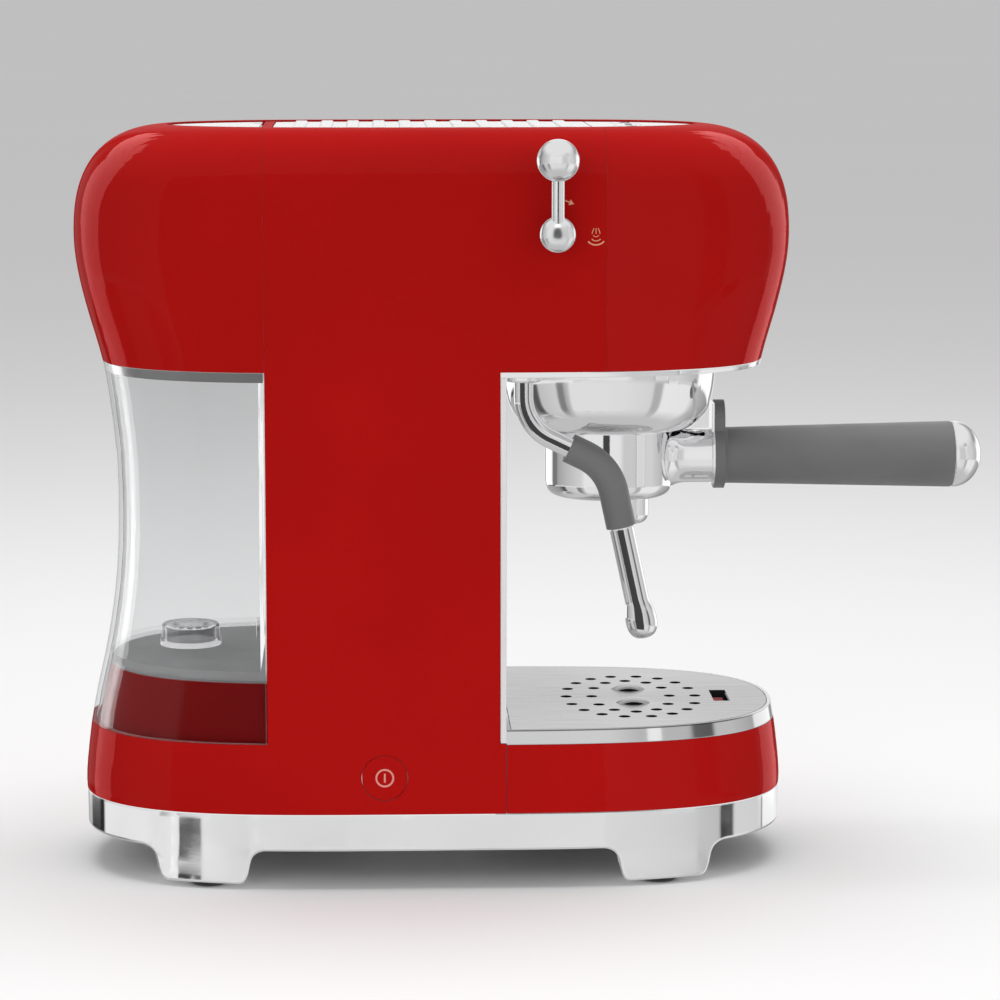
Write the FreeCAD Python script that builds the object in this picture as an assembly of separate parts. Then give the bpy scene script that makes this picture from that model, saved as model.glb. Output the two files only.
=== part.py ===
# Countertop pump espresso machine with a round-ended body, rear water tank,
# pull-out drip tray, bayonet filter holder, steam lever and steam wand.
# Frame: +X front (filter holder handle), +Z up, Y across the width.
# Origin: centre of the base, on the plane the feet stand on.  Millimetres.
import FreeCAD, Part
from FreeCAD import Vector as V
import math
import os

os.makedirs("parts", exist_ok=True)

# ------------------------------------------------------------------ driving dimensions
HALF_W = 74.5            # half of the body's width
N_EXP, M_EXP = 4.0, 2.3  # plan outline: |x/a|^N + |y/b|^M = 1
WALL = 2.5               # moulded shell wall
Z_FOOT = 2.2             # thickness of the rubber feet
Z_SKIRT0 = 17.2          # lower edge of the chrome skirt between the legs
Z_SKIRT1 = 33.4          # upper edge of the chrome skirt
Z_BODY0 = 33.8           # lower edge of the red body
Z_BASE1 = 65.0           # top of the red base band
Z_RIM1 = 71.1            # top of the drip tray's rim
Z_HEAD0 = 228.6          # lower edge of the head
Z_TOP = 333.0            # lip around the top deck
Z_DECK = 330.5           # floor of the recess in the top
X_SEAM = 74.0            # shell joints, front and rear of the head's middle
X_COL = 28.0             # front edge of the column's red sides
X_LINER = 30.6           # front face of the column's steel liner
X_GROUP = 80.0           # axis of the brewing group
GAP = 0.06               # visible joint between two shells
A_SKIRT = 157.9          # half length of the skirt

PARTS = {}


def out(name, shape):
    """Keep a shape under its node name; every solid in it must be sound."""
    if shape.ShapeType == "Compound" and len(shape.Solids) == 1:
        shape = shape.Solids[0]
    PARTS[name] = shape


# ------------------------------------------------------------------ plan outlines and profile
PROFILE = [(10, 157.4), (20, 157.8), (34, 158.2), (48, 157.6), (62, 155.9), (78, 153.0),
           (95, 149.1), (112, 145.9), (133, 143.3), (158, 142.2), (183, 142.6), (205, 144.6),
           (228, 148.2), (246, 153.2), (264, 157.8), (277, 159.9), (284, 160.3)]


def hermite(table, z):
    """Smooth curve through a table of (z, value)."""
    n = len(table)
    m = []
    for i in range(n):
        i0, i1 = max(0, i - 1), min(n - 1, i + 1)
        m.append((table[i1][1] - table[i0][1]) / (table[i1][0] - table[i0][0]))
    m[-1] = 0.0
    if z <= table[0][0]:
        return table[0][1]
    for i in range(n - 1):
        z0, v0 = table[i]
        z1, v1 = table[i + 1]
        if z <= z1:
            h = z1 - z0
            t = (z - z0) / h
            return ((2 * t ** 3 - 3 * t ** 2 + 1) * v0 + (t ** 3 - 2 * t ** 2 + t) * h * m[i]
                    + (-2 * t ** 3 + 3 * t ** 2) * v1 + (t ** 3 - t ** 2) * h * m[i + 1])
    return table[-1][1]


def half_len(z, off=0.0):
    """Half length of the body at height z, moved in by off."""
    if z < 284.0:
        return hermite(PROFILE, z) - off
    u = min(1.0, (z - 284.0) / (49.0 - off))
    return 115.0 + (45.3 - off) * (1.0 - u ** 2.5) ** (1 / 2.5)


def half_wid(z, off=0.0):
    """Half width of the body at height z, moved in by off."""
    if z < 303.0:
        return HALF_W - off
    u = min(1.0, (z - 303.0) / (30.0 - off))
    return 49.5 + (25.0 - off) * (1.0 - u ** 2.3) ** (1 / 2.3)


def quarter_points(a, b, n, m, count):
    """Evenly spaced points of one quarter, from the tip (a, 0) to the side (0, b)."""
    dense = []
    steps = 1500
    for i in range(steps + 1):
        t = 0.5 * math.pi * i / steps
        dense.append((a * max(0.0, math.cos(t)) ** (2 / n), b * math.sin(t) ** (2 / m)))
    acc = [0.0]
    for p, q in zip(dense, dense[1:]):
        acc.append(acc[-1] + math.hypot(q[0] - p[0], q[1] - p[1]))
    pts = [dense[0]]
    j = 0
    for k in range(1, count - 1):
        want = acc[-1] * k / (count - 1)
        while acc[j + 1] < want:
            j += 1
        f = (want - acc[j]) / (acc[j + 1] - acc[j])
        pts.append((dense[j][0] + f * (dense[j + 1][0] - dense[j][0]),
                    dense[j][1] + f * (dense[j + 1][1] - dense[j][1])))
    pts.append((0.0, b))
    return pts


def outline(a, b, z, n=N_EXP, m=M_EXP, count=13, x0=0.0):
    """Closed plan outline at height z as a wire of four curves."""
    q = quarter_points(a, b, n, m, count)
    corners = [[(x, y) for x, y in q],
               [(-x, y) for x, y in reversed(q)],
               [(-x, -y) for x, y in q],
               [(x, -y) for x, y in reversed(q)]]
    tans = [((0, 1), (-1, 0)), ((-1, 0), (0, -1)), ((0, -1), (1, 0)), ((1, 0), (0, 1))]
    edges = []
    for pts, (t0, t1) in zip(corners, tans):
        c = Part.BSplineCurve()
        c.interpolate(Points=[V(x + x0, y, z) for x, y in pts],
                      InitialTangent=V(t0[0], t0[1], 0), FinalTangent=V(t1[0], t1[1], 0))
        edges.append(c.toShape())
    return Part.Wire(edges)


def prism(a, b, z0, z1, n=N_EXP, m=M_EXP, x0=0.0):
    """Straight-sided block with the plan outline."""
    return Part.Face(outline(a, b, z0, n, m, x0=x0)).extrude(V(0, 0, z1 - z0))


def box(x0, x1, y0, y1, z0, z1):
    return Part.makeBox(x1 - x0, y1 - y0, z1 - z0, V(x0, y0, z0))


def cyl(r, p, d, h):
    return Part.makeCylinder(r, h, V(*p), V(*d))


def tube(ro, ri, p, d, h):
    return cyl(ro, p, d, h).cut(cyl(ri, p, d, h))


def fuse(*shapes):
    s = shapes[0]
    for t in shapes[1:]:
        s = s.fuse(t)
    return s.removeSplitter()


def profile_face(points, place):
    """Face from a closed profile; a list among the points is one smooth curve, the rest are straight runs."""
    edges = []
    first = points[0][0] if isinstance(points[0], list) else points[0]
    last = None
    for item in points + [first]:
        run = item if isinstance(item, list) else [item]
        p0 = place(*run[0])
        if last is not None and (p0 - last).Length > 1e-7:
            edges.append(Part.makeLine(last, p0))
        if len(run) > 1:
            c = Part.BSplineCurve()
            c.interpolate([place(*q) for q in run])
            edges.append(c.toShape())
        last = place(*run[-1])
    return Part.Face(Part.Wire(edges))


def revolve(points, axis_x=0.0, axis_y=0.0, angle=360):
    """Solid of revolution about a vertical axis; points are (radius, z)."""
    f = profile_face(points, lambda r, z: V(axis_x + r, axis_y, z))
    return f.revolve(V(axis_x, axis_y, 0), V(0, 0, 1), angle)


def revolve_x(points, y0, z0, angle=360):
    """Solid of revolution about a horizontal axis along X; points are (x, radius)."""
    f = profile_face(points, lambda x, r: V(x, y0, z0 + r))
    return f.revolve(V(0, y0, z0), V(1, 0, 0), angle)


def revolve_y(points, x0, z0):
    """Solid of revolution about a horizontal axis along Y; points are (y, radius)."""
    f = profile_face(points, lambda y, r: V(x0, y, z0 + r))
    return f.revolve(V(x0, 0, z0), V(0, 1, 0), 360)


def arc_points(cx, cy, r, a0, a1, n):
    """Points of an arc, in degrees."""
    return [(cx + r * math.cos(math.radians(a0 + (a1 - a0) * i / n)),
             cy + r * math.sin(math.radians(a0 + (a1 - a0) * i / n))) for i in range(n + 1)]


def loft(off, z_list):
    """Body block between the first and last height, with the wall moved in by off."""
    return Part.makeLoft([outline(half_len(z, off), half_wid(z, off), z) for z in z_list], True, False)


def bent_tube(radius, path, bore=0.0):
    """Round tube along straight runs joined by tangent arcs; path is [(point, bend radius), ...]."""
    pts = [V(*p) for p, _ in path]
    rad = [r for _, r in path]
    edges = []
    start = pts[0]
    for i in range(1, len(pts) - 1):
        d0 = (pts[i] - pts[i - 1]).normalize()
        d1 = (pts[i + 1] - pts[i]).normalize()
        turn = d0.getAngle(d1)
        t = rad[i] * math.tan(turn / 2)
        p0, p1 = pts[i] - d0 * t, pts[i] + d1 * t
        bis = (d1 - d0).normalize()
        centre = pts[i] + bis * (rad[i] / math.cos(turn / 2))
        mid = centre - bis * rad[i]
        if (p0 - start).Length > 1e-6:
            edges.append(Part.LineSegment(start, p0).toShape())
        edges.append(Part.Arc(p0, mid, p1).toShape())
        start = p1
    edges.append(Part.LineSegment(start, pts[-1]).toShape())
    wire = Part.Wire(edges)
    d = (pts[1] - pts[0]).normalize()

    def sweep(r):
        ring = Part.Wire([Part.makeCircle(r, pts[0], d)])
        return wire.makePipeShell([ring], True, False)

    s = sweep(radius)
    if bore:
        s = s.cut(sweep(bore))
    return s


# ------------------------------------------------------------------ body blocks
Z_OUT = [Z_BODY0, 48, 62, 78, 95, 112, 133, 158, 183, 205, 228, 246, 264, 277, 284, 292, 299, 306,
         312, 317.5, 322, 325.5, 328.4, 330.6, 332.1, Z_TOP]
outer = loft(0.0, Z_OUT)
Z_IN = [Z_BODY0 - 6, 48, 62, 78, 95, 112, 133, 158, 183, 205, 228, 246, 264, 277, 284, 292, 299, 306,
        312, 317.5, 321.5, 324.2, 326.3, 327.5]
inner = loft(WALL, Z_IN)
wall = outer.cut(inner)

# recess of the top deck, with a bar left standing at the rear shell joint
recess = prism(118.5, 46.5, Z_DECK, Z_TOP + 5, 3.2, 2.0)
bar = box(-75.4, -71.0, -100, 100, Z_DECK - 1, Z_TOP - 0.6)
recess = recess.cut(bar)
wall = wall.cut(recess)

# ------------------------------------------------------------------ base
def leg_face(xc):
    """Side view of one leg: flanks that flare into the skirt's edge and turn round into the foot."""
    zt = Z_SKIRT0
    right = [(28.3, zt), (25.1, zt - 0.5), (22.5, zt - 2.2), (21.1, zt - 5.0), (20.4, zt - 8.2), (19.5, Z_FOOT + 3.4), (18.3, Z_FOOT + 1.2), (15.9, Z_FOOT)]
    left = [(-x, z) for x, z in reversed(right)]
    return profile_face([(28.3, zt + 2), right, left, (-28.3, zt + 2)], lambda x, z: V(xc + x, -120, z))


LEGS = (-103.0, 101.3)
block = prism(A_SKIRT, HALF_W - 0.1, Z_FOOT, Z_SKIRT1)
hollow = prism(A_SKIRT - 3, HALF_W - 3.1, -5, 60)
between = box(-200, 200, -120, 120, 0, Z_SKIRT0)
for xc in LEGS:
    hollow = hollow.cut(box(xc - 28.3, xc + 28.3, -120, 120, -10, 28.0))
    between = between.cut(leg_face(xc).extrude(V(0, 240, 0)))
hollow = hollow.fuse(prism(A_SKIRT - 17, HALF_W - 17.1, -5, 60))
base_skirt = block.cut(hollow).cut(between).removeSplitter()
# rounded lower edge along the skirt and the legs
low = []
for e in base_skirt.Edges:
    p = e.valueAt((e.FirstParameter + e.LastParameter) / 2)
    on_wall = abs((abs(p.x) / A_SKIRT) ** N_EXP + (abs(p.y) / (HALF_W - 0.1)) ** M_EXP - 1) < 0.01
    if on_wall and e.BoundBox.ZMax < Z_SKIRT0 + 0.5:
        low.append(e)
try:
    rounded = base_skirt.makeFillet(1.3, low)
    if rounded.isValid() and len(rounded.Solids) == 1:
        base_skirt = rounded
except Exception as err:
    print("skirt edge left sharp", err)
out("base_skirt", base_skirt)

FEET = [(-101.0, -58.0), (-101.0, 58.0), (99.3, -58.0), (99.3, 58.0)]
feet = []
for x, y in FEET:
    feet.append(revolve([(0, 0), (7.0, 0), (8.0, 0.9), (8.4, Z_FOOT), (0, Z_FOOT)], x, y))
out("rubber_feet", Part.makeCompound(feet))

PLATE0, PLATE1 = 30.2, 33.2
base_plate = prism(A_SKIRT - 3.2, HALF_W - 3.3, PLATE0, PLATE1)
for k in range(9):
    x = -36 + 9 * k
    base_plate = base_plate.cut(box(x, x + 4, -30, 30, 20, 40))
GLAND = (-128.0, 0.0)
base_plate = base_plate.cut(cyl(7.0, (GLAND[0], GLAND[1], 20), (0, 0, 1), 20))
BOSSES = [(-125.0, -46.0), (-125.0, 46.0), (-60.0, -62.0), (-60.0, 62.0), (14.0, -62.0), (14.0, 62.0)]
for x, y in BOSSES:
    base_plate = base_plate.cut(cyl(1.8, (x, y, 20), (0, 0, 1), 20))
out("base_plate", base_plate)
screws = []
for x, y in BOSSES:
    head = revolve([(0, PLATE0 - 2.2), (2.2, PLATE0 - 2.2), (3.0, PLATE0 - 1.5), (3.0, PLATE0), (0, PLATE0)], x, y)
    slot = fuse(box(x - 2.0, x + 2.0, y - 0.35, y + 0.35, PLATE0 - 3, PLATE0 - 1.2),
                box(x - 0.35, x + 0.35, y - 2.0, y + 2.0, PLATE0 - 3, PLATE0 - 1.2))
    screws.append(fuse(head, cyl(1.5, (x, y, PLATE0), (0, 0, 1), 12.0)).cut(slot))
out("base_screws", Part.makeCompound(screws))
gland = revolve([(3.6, 24.0), (6.0, 24.5), (6.6, 27.5), (9.5, 28.0), (9.5, PLATE0), (6.9, PLATE0),
                 (6.9, PLATE1), (8.6, PLATE1), (8.6, PLATE1 + 2.4), (3.6, PLATE1 + 2.4)], *GLAND)
out("cable_gland", gland)

# ------------------------------------------------------------------ red shells
reg = fuse(box(-X_SEAM, X_SEAM - GAP / 2, -100, 100, Z_HEAD0, 340),
           box(-X_SEAM, X_COL, -100, 100, Z_BASE1 - 3, Z_HEAD0 + 1),
           box(-180, X_LINER - 0.1, -100, 100, Z_BODY0, Z_BASE1))
main_shell = wall.common(reg)
# screw bosses that stand on the base plate
for x, y in BOSSES:
    b = tube(4.0, 1.5, (x, y, PLATE1 + 0.6), (0, 0, 1), 16)
    rib = box(x - 1.2, x + 1.2, y, 76, PLATE1 + 0.6, PLATE1 + 16.6) if y > 0 else box(x - 1.2, x + 1.2, -76, y, PLATE1 + 0.6, PLATE1 + 16.6)
    rib = rib.cut(cyl(3.0, (x, y, 20), (0, 0, 1), 60)).common(outer)
    if x < -100:
        rib = box(-155, x, y - 1.2, y + 1.2, PLATE1 + 0.6, PLATE1 + 16.6).cut(cyl(3.0, (x, y, 20), (0, 0, 1), 60)).common(outer)
    main_shell = main_shell.fuse(b).fuse(rib)
LEVER = (52.2, 288.6)
main_shell = main_shell.cut(cyl(4.0, (LEVER[0], -90, LEVER[1]), (0, 1, 0), 40))
POWER = (-22.8, 50.2)
main_shell = main_shell.cut(cyl(10.2, (POWER[0], -90, POWER[1]), (0, 1, 0), 40))
# window under the warming plate
main_shell = main_shell.cut(box(-60, 60, -32, 32, 320, 340))
main_shell = main_shell.removeSplitter()
out("main_shell", main_shell)

front_hood = wall.common(box(X_SEAM + GAP / 2, 180, -100, 100, Z_HEAD0, 340))
BUTTONS = [(88.0, -21.0), (88.0, 0.0), (88.0, 21.0)]
for x, y in BUTTONS:
    front_hood = front_hood.cut(cyl(6.6, (x, y, 320), (0, 0, 1), 20))
out("front_hood", front_hood)

rear_hood = wall.common(box(-180, -X_SEAM - GAP, -100, 100, Z_HEAD0, 340))
hood_floor = inner.common(box(-180, -X_SEAM - GAP, -100, 100, Z_HEAD0, Z_HEAD0 + 2.5))
FILL = (-98.0, 13.0, 22.0)     # middle, half length and half width of the filling hole
FUNNEL = 5.0
rear_hood = rear_hood.fuse(hood_floor)
rear_hood = rear_hood.cut(box(FILL[0] - FILL[1], FILL[0] + FILL[1], -FILL[2], FILL[2], 200, 340))
HINGE = (-78.0, 330.2)         # axis of the flap: x, z
rear_hood = rear_hood.cut(box(HINGE[0] - 2.3, HINGE[0] + 2.6, -40.6, 40.6, 320, Z_DECK + 0.6))
for y0 in (-30.0, 24.0):
    lug = fuse(box(HINGE[0] - 1.5, HINGE[0] + 1.5, y0, y0 + 6.0, 327.8, HINGE[1] + 1.5), box(HINGE[0] - 3.0, HINGE[0] + 1.5, y0, y0 + 6.0, 327.8, Z_DECK - 0.1))
    rear_hood = rear_hood.fuse(lug)
rear_hood = rear_hood.cut(cyl(0.8, (HINGE[0], -29.0, HINGE[1]), (0, 1, 0), 58.0))
rear_hood = rear_hood.removeSplitter()
out("rear_hood", rear_hood)
# tapered chute that leads the water from the flap down to the tank
fo = box(FILL[0] - FILL[1] + 0.2, FILL[0] + FILL[1] - 0.2, -FILL[2] + 0.2, FILL[2] - 0.2, Z_HEAD0 + 0.1, 329.8)
fi = box(FILL[0] - FILL[1] + 2.0, FILL[0] + FILL[1] - 2.0, -FILL[2] + 2.0, FILL[2] - 2.0, Z_HEAD0 - 5, 340)
flange = box(FILL[0] - FILL[1] - 4, FILL[0] + FILL[1] + 4, -FILL[2] - 4, FILL[2] + 4, Z_HEAD0 + 2.6, Z_HEAD0 + 4.6)
out("fill_chute", fuse(fo, flange).cut(fi))

# ------------------------------------------------------------------ steel liners and panels
liner = box(X_COL + 0.2, X_LINER, -74.1, 74.1, Z_BASE1 + 0.3, 226.0)
liner = liner.fuse(box(X_COL - 5.0, X_COL + 0.2, -71.5, -70.3, Z_BASE1 + 6, 222)).fuse(
    box(X_COL - 5.0, X_COL + 0.2, 70.3, 71.5, Z_BASE1 + 6, 222)).removeSplitter()
out("column_liner", liner)
under = outer.common(box(X_COL + 0.2, 180, -100, 100, 226.2, 228.4))
WAND = (39.0, -50.0)
under = under.cut(cyl(40.2, (X_GROUP, 0, 200), (0, 0, 1), 60))
under = under.cut(cyl(6.2, (WAND[0], WAND[1], 200), (0, 0, 1), 60))
out("head_underplate", under)

cup = prism(118.0, 46.0, Z_DECK + 0.1, Z_DECK + 1.6, 3.2, 2.0).common(box(-70.6, 70.2, -60, 60, 320, 340))
ribs = []
RIBS = [-59.0 + 11.77 * k for k in range(11)]
for x in RIBS:
    bar_w = 2.9
    y = 41.5 if abs(x) < 50 else 39.5
    prof = [V(x - bar_w, -y, Z_DECK + 1.6), V(x - bar_w + 0.3, -y, Z_DECK + 2.15), V(x - bar_w + 0.8, -y, Z_DECK + 2.4),
            V(x + bar_w - 0.8, -y, Z_DECK + 2.4), V(x + bar_w - 0.3, -y, Z_DECK + 2.15), V(x + bar_w, -y, Z_DECK + 1.6)]
    ribs.append(Part.Face(Part.makePolygon(prof + [prof[0]])).extrude(V(0, 2 * y, 0)))
out("cup_warmer", fuse(cup, *ribs))
panel = prism(118.0, 46.0, Z_DECK + 0.1, Z_DECK + 1.6, 3.2, 2.0).common(box(70.8, 170, -60, 60, 320, 340))
for x, y in BUTTONS:
    panel = panel.cut(cyl(6.6, (x, y, 320), (0, 0, 1), 20))
out("control_panel", panel)

bay = loft(WALL + 0.3, [60, 78, 95, 112, 133, 158, 183, 205, 228, 246, 256]).common(
    box(-X_SEAM + 0.2, -X_SEAM + 2.7, -100, 100, Z_BASE1 - 2, Z_HEAD0 + 20))
SOCK = (0.0, 104.0)            # tank coupling: y, z
bay = bay.cut(cyl(8.0, (-90, SOCK[0], SOCK[1]), (1, 0, 0), 60))
out("tank_bay_panel", bay)
plat = loft(3.6, [60, 66, 74, 82, 90, 96]).common(box(-180, -X_SEAM - 0.1, -100, 100, Z_BASE1 - 3, 92.6))
plat = plat.fuse(loft(WALL + 0.1, [54, 60, 66, 74]).common(box(-180, -X_SEAM - 0.1, -100, 100, Z_BASE1 - 4, Z_BASE1 - 0.1)))
plat_in = loft(6.1, [52, 58, 66, 74, 82, 90, 96]).common(box(-180, -X_SEAM - 2.6, -100, 100, 50, 90.1))
out("tank_platform", plat.cut(plat_in).removeSplitter())

# ------------------------------------------------------------------ water tank (slides out to the rear)
X_TANK = -X_SEAM - 0.6
TANK_TOP, FLOOR0, FLOOR1 = 224.2, 94.2, 97.0
TW = 2.2
z_t = [65.15, 72, 80, 95, 112, 133, 158, 183, 205, 216, 228.4]
t_out = loft(0.0, z_t)
t_in = loft(TW, [60, 72, 80, 95, 112, 133, 158, 183, 205, 216, 240])
tank_box = box(-180, X_TANK, -100, 100, 65.15, TANK_TOP)
tank = t_out.common(tank_box)
tank = tank.cut(t_in.common(box(-180, X_TANK - TW, -100, 100, FLOOR1, 260)))
tank = tank.cut(t_in.common(box(-180, X_TANK + 1, -100, 100, 40, FLOOR0)))
nozzle = tube(6.0, 3.2, (X_TANK - 1.0, SOCK[0], SOCK[1]), (1, 0, 0), 13.0)
tank = tank.cut(cyl(3.2, (X_TANK - 10, SOCK[0], SOCK[1]), (1, 0, 0), 30)).fuse(nozzle).removeSplitter()
out("water_tank", tank)
cap = t_out.common(box(-180, X_TANK, -100, 100, TANK_TOP + 0.1, 228.4))
cap = cap.cut(t_in.common(box(-180, X_TANK - TW, -100, 100, TANK_TOP - 1, 226.0)))
cap = cap.cut(box(FILL[0] - FILL[1] + 1, FILL[0] + FILL[1] - 1, -FILL[2] + 1, FILL[2] - 1, 200, 240))
out("tank_cap", cap)
filt = revolve([(0, FLOOR1 + 0.05), (13.9, FLOOR1 + 0.05), (13.9, FLOOR1 + 3.0), (13.2, FLOOR1 + 3.4), (13.2, FLOOR1 + 8.8),
                (12.4, FLOOR1 + 9.6), (0, FLOOR1 + 9.6)], -110.6, 0.0)
filt = filt.cut(revolve([(0, FLOOR1 + 2), (11.2, FLOOR1 + 2), (11.2, FLOOR1 + 8.2), (0, FLOOR1 + 8.2)], -110.6, 0.0))
for k in range(12):
    a = 2 * math.pi * k / 12
    filt = filt.cut(cyl(1.4, (-110.6 + 7.5 * math.cos(a), 7.5 * math.sin(a), FLOOR1 + 7), (0, 0, 1), 6))
out("tank_filter", filt)
duck = revolve_x([(X_TANK - 6.0, 0.0), (X_TANK - 6.0, 4.6), (X_TANK - 3.6, 4.6), (X_TANK - 3.6, 3.1), (X_TANK + 8, 3.1), (X_TANK + 8, 0.0)], SOCK[0], SOCK[1])
duck = duck.cut(cyl(1.4, (X_TANK - 10, SOCK[0], SOCK[1]), (1, 0, 0), 14))
out("tank_check_valve", duck)
sock = revolve_x([(-X_SEAM + 0.3, 6.4), (-X_SEAM + 0.3, 7.7), (-X_SEAM + 2.8, 7.7), (-X_SEAM + 2.8, 10.5), (-X_SEAM + 5.5, 10.5), (-X_SEAM + 5.5, 8.0),
                  (-X_SEAM + 18, 8.0), (-X_SEAM + 18, 4.5), (-X_SEAM + 30, 4.5), (-X_SEAM + 30, 2.2), (-X_SEAM + 15, 2.2), (-X_SEAM + 15, 6.4)], SOCK[0], SOCK[1])
out("tank_socket", sock)

# ------------------------------------------------------------------ filling flap
X_FLAP = -76.9
flap = prism(117.6, 45.6, Z_DECK + 0.2, Z_DECK + 1.7, 3.2, 2.0).common(box(-170, X_FLAP, -60, 60, 320, 340))
for y0 in (-30.6, 23.4):
    flap = flap.cut(box(HINGE[0] - 2.3, -70, y0, y0 + 7.2, 320, 340))
knuckles = [cyl(1.7, (HINGE[0], y0, HINGE[1]), (0, 1, 0), 10.0) for y0 in (-20.0, 10.0)]
flap = fuse(flap, *knuckles).cut(cyl(0.86, (HINGE[0], -40.0, HINGE[1]), (0, 1, 0), 80.0))
out("tank_flap", flap)
out("flap_hinge_pin", cyl(0.8, (HINGE[0], -28.8, HINGE[1]), (0, 1, 0), 57.6))

# ------------------------------------------------------------------ drip tray (slides out to the front)
X_TRAY = X_LINER + 0.15
tray_box = box(X_TRAY, 180, -100, 100, Z_BODY0 + 0.1, Z_BASE1 - 0.4)
tub = outer.common(tray_box).cut(inner.common(box(X_TRAY + WALL, 180, -100, 100, 36.6, 80)))
FLOAT = (131.4, 0.0)
guide = box(FLOAT[0] - 5.0, FLOAT[0] + 5.0, -14.0, 14.0, 36.0, 52.0).cut(box(FLOAT[0] - 3.4, FLOAT[0] + 3.4, -12.4, 12.4, 36.6, 60))
tub = tub.fuse(guide).removeSplitter()
out("tray_tub", tub)
rim = outer.common(box(X_TRAY, 180, -100, 100, Z_BASE1 - 0.3, Z_RIM1))
rim_seat = loft(1.7, [50, 62, 78, 90]).common(box(X_TRAY + 1.7, 180, -100, 100, Z_RIM1 - 1.5, 80))
rim_hole = loft(6.5, [50, 62, 78, 90]).common(box(X_TRAY + 6.5, 180, -100, 100, 50, 80))
out("tray_rim", rim.cut(rim_seat).cut(rim_hole))
grate = loft(2.0, [50, 62, 78, 90]).common(box(X_TRAY + 2.0, 180, -100, 100, Z_RIM1 - 1.4, Z_RIM1))
X_PAT = 90.5
OUTER_HOLES, INNER_HOLES = 18, 12


def ring(count, rx, ry, p, phase):
    """Holes spread on a rounded oval."""
    pts = []
    for k in range(count):
        t = 2 * math.pi * (k + phase) / count
        c, s = math.cos(t), math.sin(t)
        pts.append((X_PAT + rx * math.copysign(abs(s) ** (2 / p), s), ry * math.copysign(abs(c) ** (2 / p), c)))
    return pts


HOLES = ring(OUTER_HOLES, 29.6, 46.5, 2.2, 0.5) + ring(INNER_HOLES, 17.9, 35.5, 2.2, 0.0)
for x, y in HOLES:
    grate = grate.cut(cyl(2.6, (x, y, 60), (0, 0, 1), 20))
grate = grate.cut(box(FLOAT[0] - 3.7, FLOAT[0] + 3.7, -12.6, 12.6, 60, 80))
lids = []
for y in (-15.5, 15.5):
    # pressed eyelid drain: a low dome with its mouth towards the side
    dome = Part.makeSphere(14.0, V(X_PAT, y + 1.0, Z_RIM1 - 11.6))
    dome_in = Part.makeSphere(13.1, V(X_PAT, y + 1.0, Z_RIM1 - 11.6))
    cut_box = box(X_PAT - 10, X_PAT + 10, y - 3.0, y + 12, Z_RIM1 - 0.7, 90)
    grate = grate.cut(Part.makeSphere(13.1, V(X_PAT, y + 1.0, Z_RIM1 - 11.6)).common(box(X_PAT - 20, X_PAT + 20, y - 12, y + 6, 60, 90)))
    lids.append(dome.cut(dome_in).common(cut_box))
grate = fuse(grate, *lids)
out("drip_grate", grate)
flt = fuse(box(FLOAT[0] - 2.4, FLOAT[0] + 2.4, -11.2, 11.2, 37.0, 67.8), box(FLOAT[0] - 3.2, FLOAT[0] + 3.2, -12.2, 12.2, 36.9, 44.0))
out("level_float", flt)

# ------------------------------------------------------------------ brewing group
bowl_o = [(48.2, 226.1), (48.0, 221.5), (47.4, 215.5), (46.5, 210.5), (45.2, 206.0), (43.2, 202.2), (40.6, 199.2), (37.4, 197.0), (34.0, 196.0)]
bowl_i = [(33.2, 196.0), (33.2, 197.6), (36.4, 198.4), (39.4, 200.4), (41.8, 203.0), (43.6, 206.6), (44.8, 210.9), (45.7, 215.8), (46.3, 221.7), (46.5, 226.1)]


def smooth_revolve(op, ip, ax):
    """Bowl of revolution with smooth outer and inner curves."""
    co, ci = Part.BSplineCurve(), Part.BSplineCurve()
    co.interpolate([V(ax + r, 0, z) for r, z in op])
    ci.interpolate([V(ax + r, 0, z) for r, z in ip[1:]])
    e = [co.toShape(), Part.makeLine(V(ax + op[-1][0], 0, op[-1][1]), V(ax + ip[0][0], 0, ip[0][1])),
         Part.makeLine(V(ax + ip[0][0], 0, ip[0][1]), V(ax + ip[1][0], 0, ip[1][1])), ci.toShape(),
         Part.makeLine(V(ax + ip[-1][0], 0, ip[-1][1]), V(ax + op[0][0], 0, op[0][1]))]
    return Part.Face(Part.Wire(e)).revolve(V(ax, 0, 0), V(0, 0, 1), 360)


out("group_bowl", smooth_revolve(bowl_o, bowl_i, X_GROUP))
gh = revolve([(3.0, 220.2), (34.2, 220.2), (34.2, 213.5), (37.6, 213.5), (37.6, 204.6), (32.4, 204.6), (32.4, 201.2), (38.0, 201.2),
              (40.0, 206.5), (40.0, 232.0), (3.0, 232.0)], X_GROUP)
gh = fuse(gh, revolve([(2.2, 216.4), (6.0, 216.4), (6.0, 220.4), (2.2, 220.4)], X_GROUP))
for a in (45.0, 225.0):
    w = Part.makeCylinder(37.6, 3.4, V(X_GROUP, 0, 201.2), V(0, 0, 1), 52.0)
    w.rotate(V(X_GROUP, 0, 0), V(0, 0, 1), a - 26.0)
    gh = gh.cut(w)
for a in (0, 90, 180, 270):
    x, y = X_GROUP + 24 * math.cos(math.radians(a + 45)), 24 * math.sin(math.radians(a + 45))
    gh = gh.cut(cyl(2.1, (x, y, 222), (0, 0, 1), 20))
out("group_head", gh)
out("group_gasket", revolve([(27.0, 213.6), (34.0, 213.6), (34.0, 220.1), (27.6, 220.1)], X_GROUP))
scr = revolve([(2.3, 214.8), (26.2, 214.8), (26.2, 219.8), (25.4, 219.8), (25.4, 215.8), (2.3, 215.8)], X_GROUP)
for rr, n in ((8, 8), (13, 14), (18, 20), (23, 26)):
    for k in range(n):
        a = 2 * math.pi * k / n
        scr = scr.cut(cyl(0.8, (X_GROUP + rr * math.cos(a), rr * math.sin(a), 213), (0, 0, 1), 4))
out("shower_screen", scr)
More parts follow.
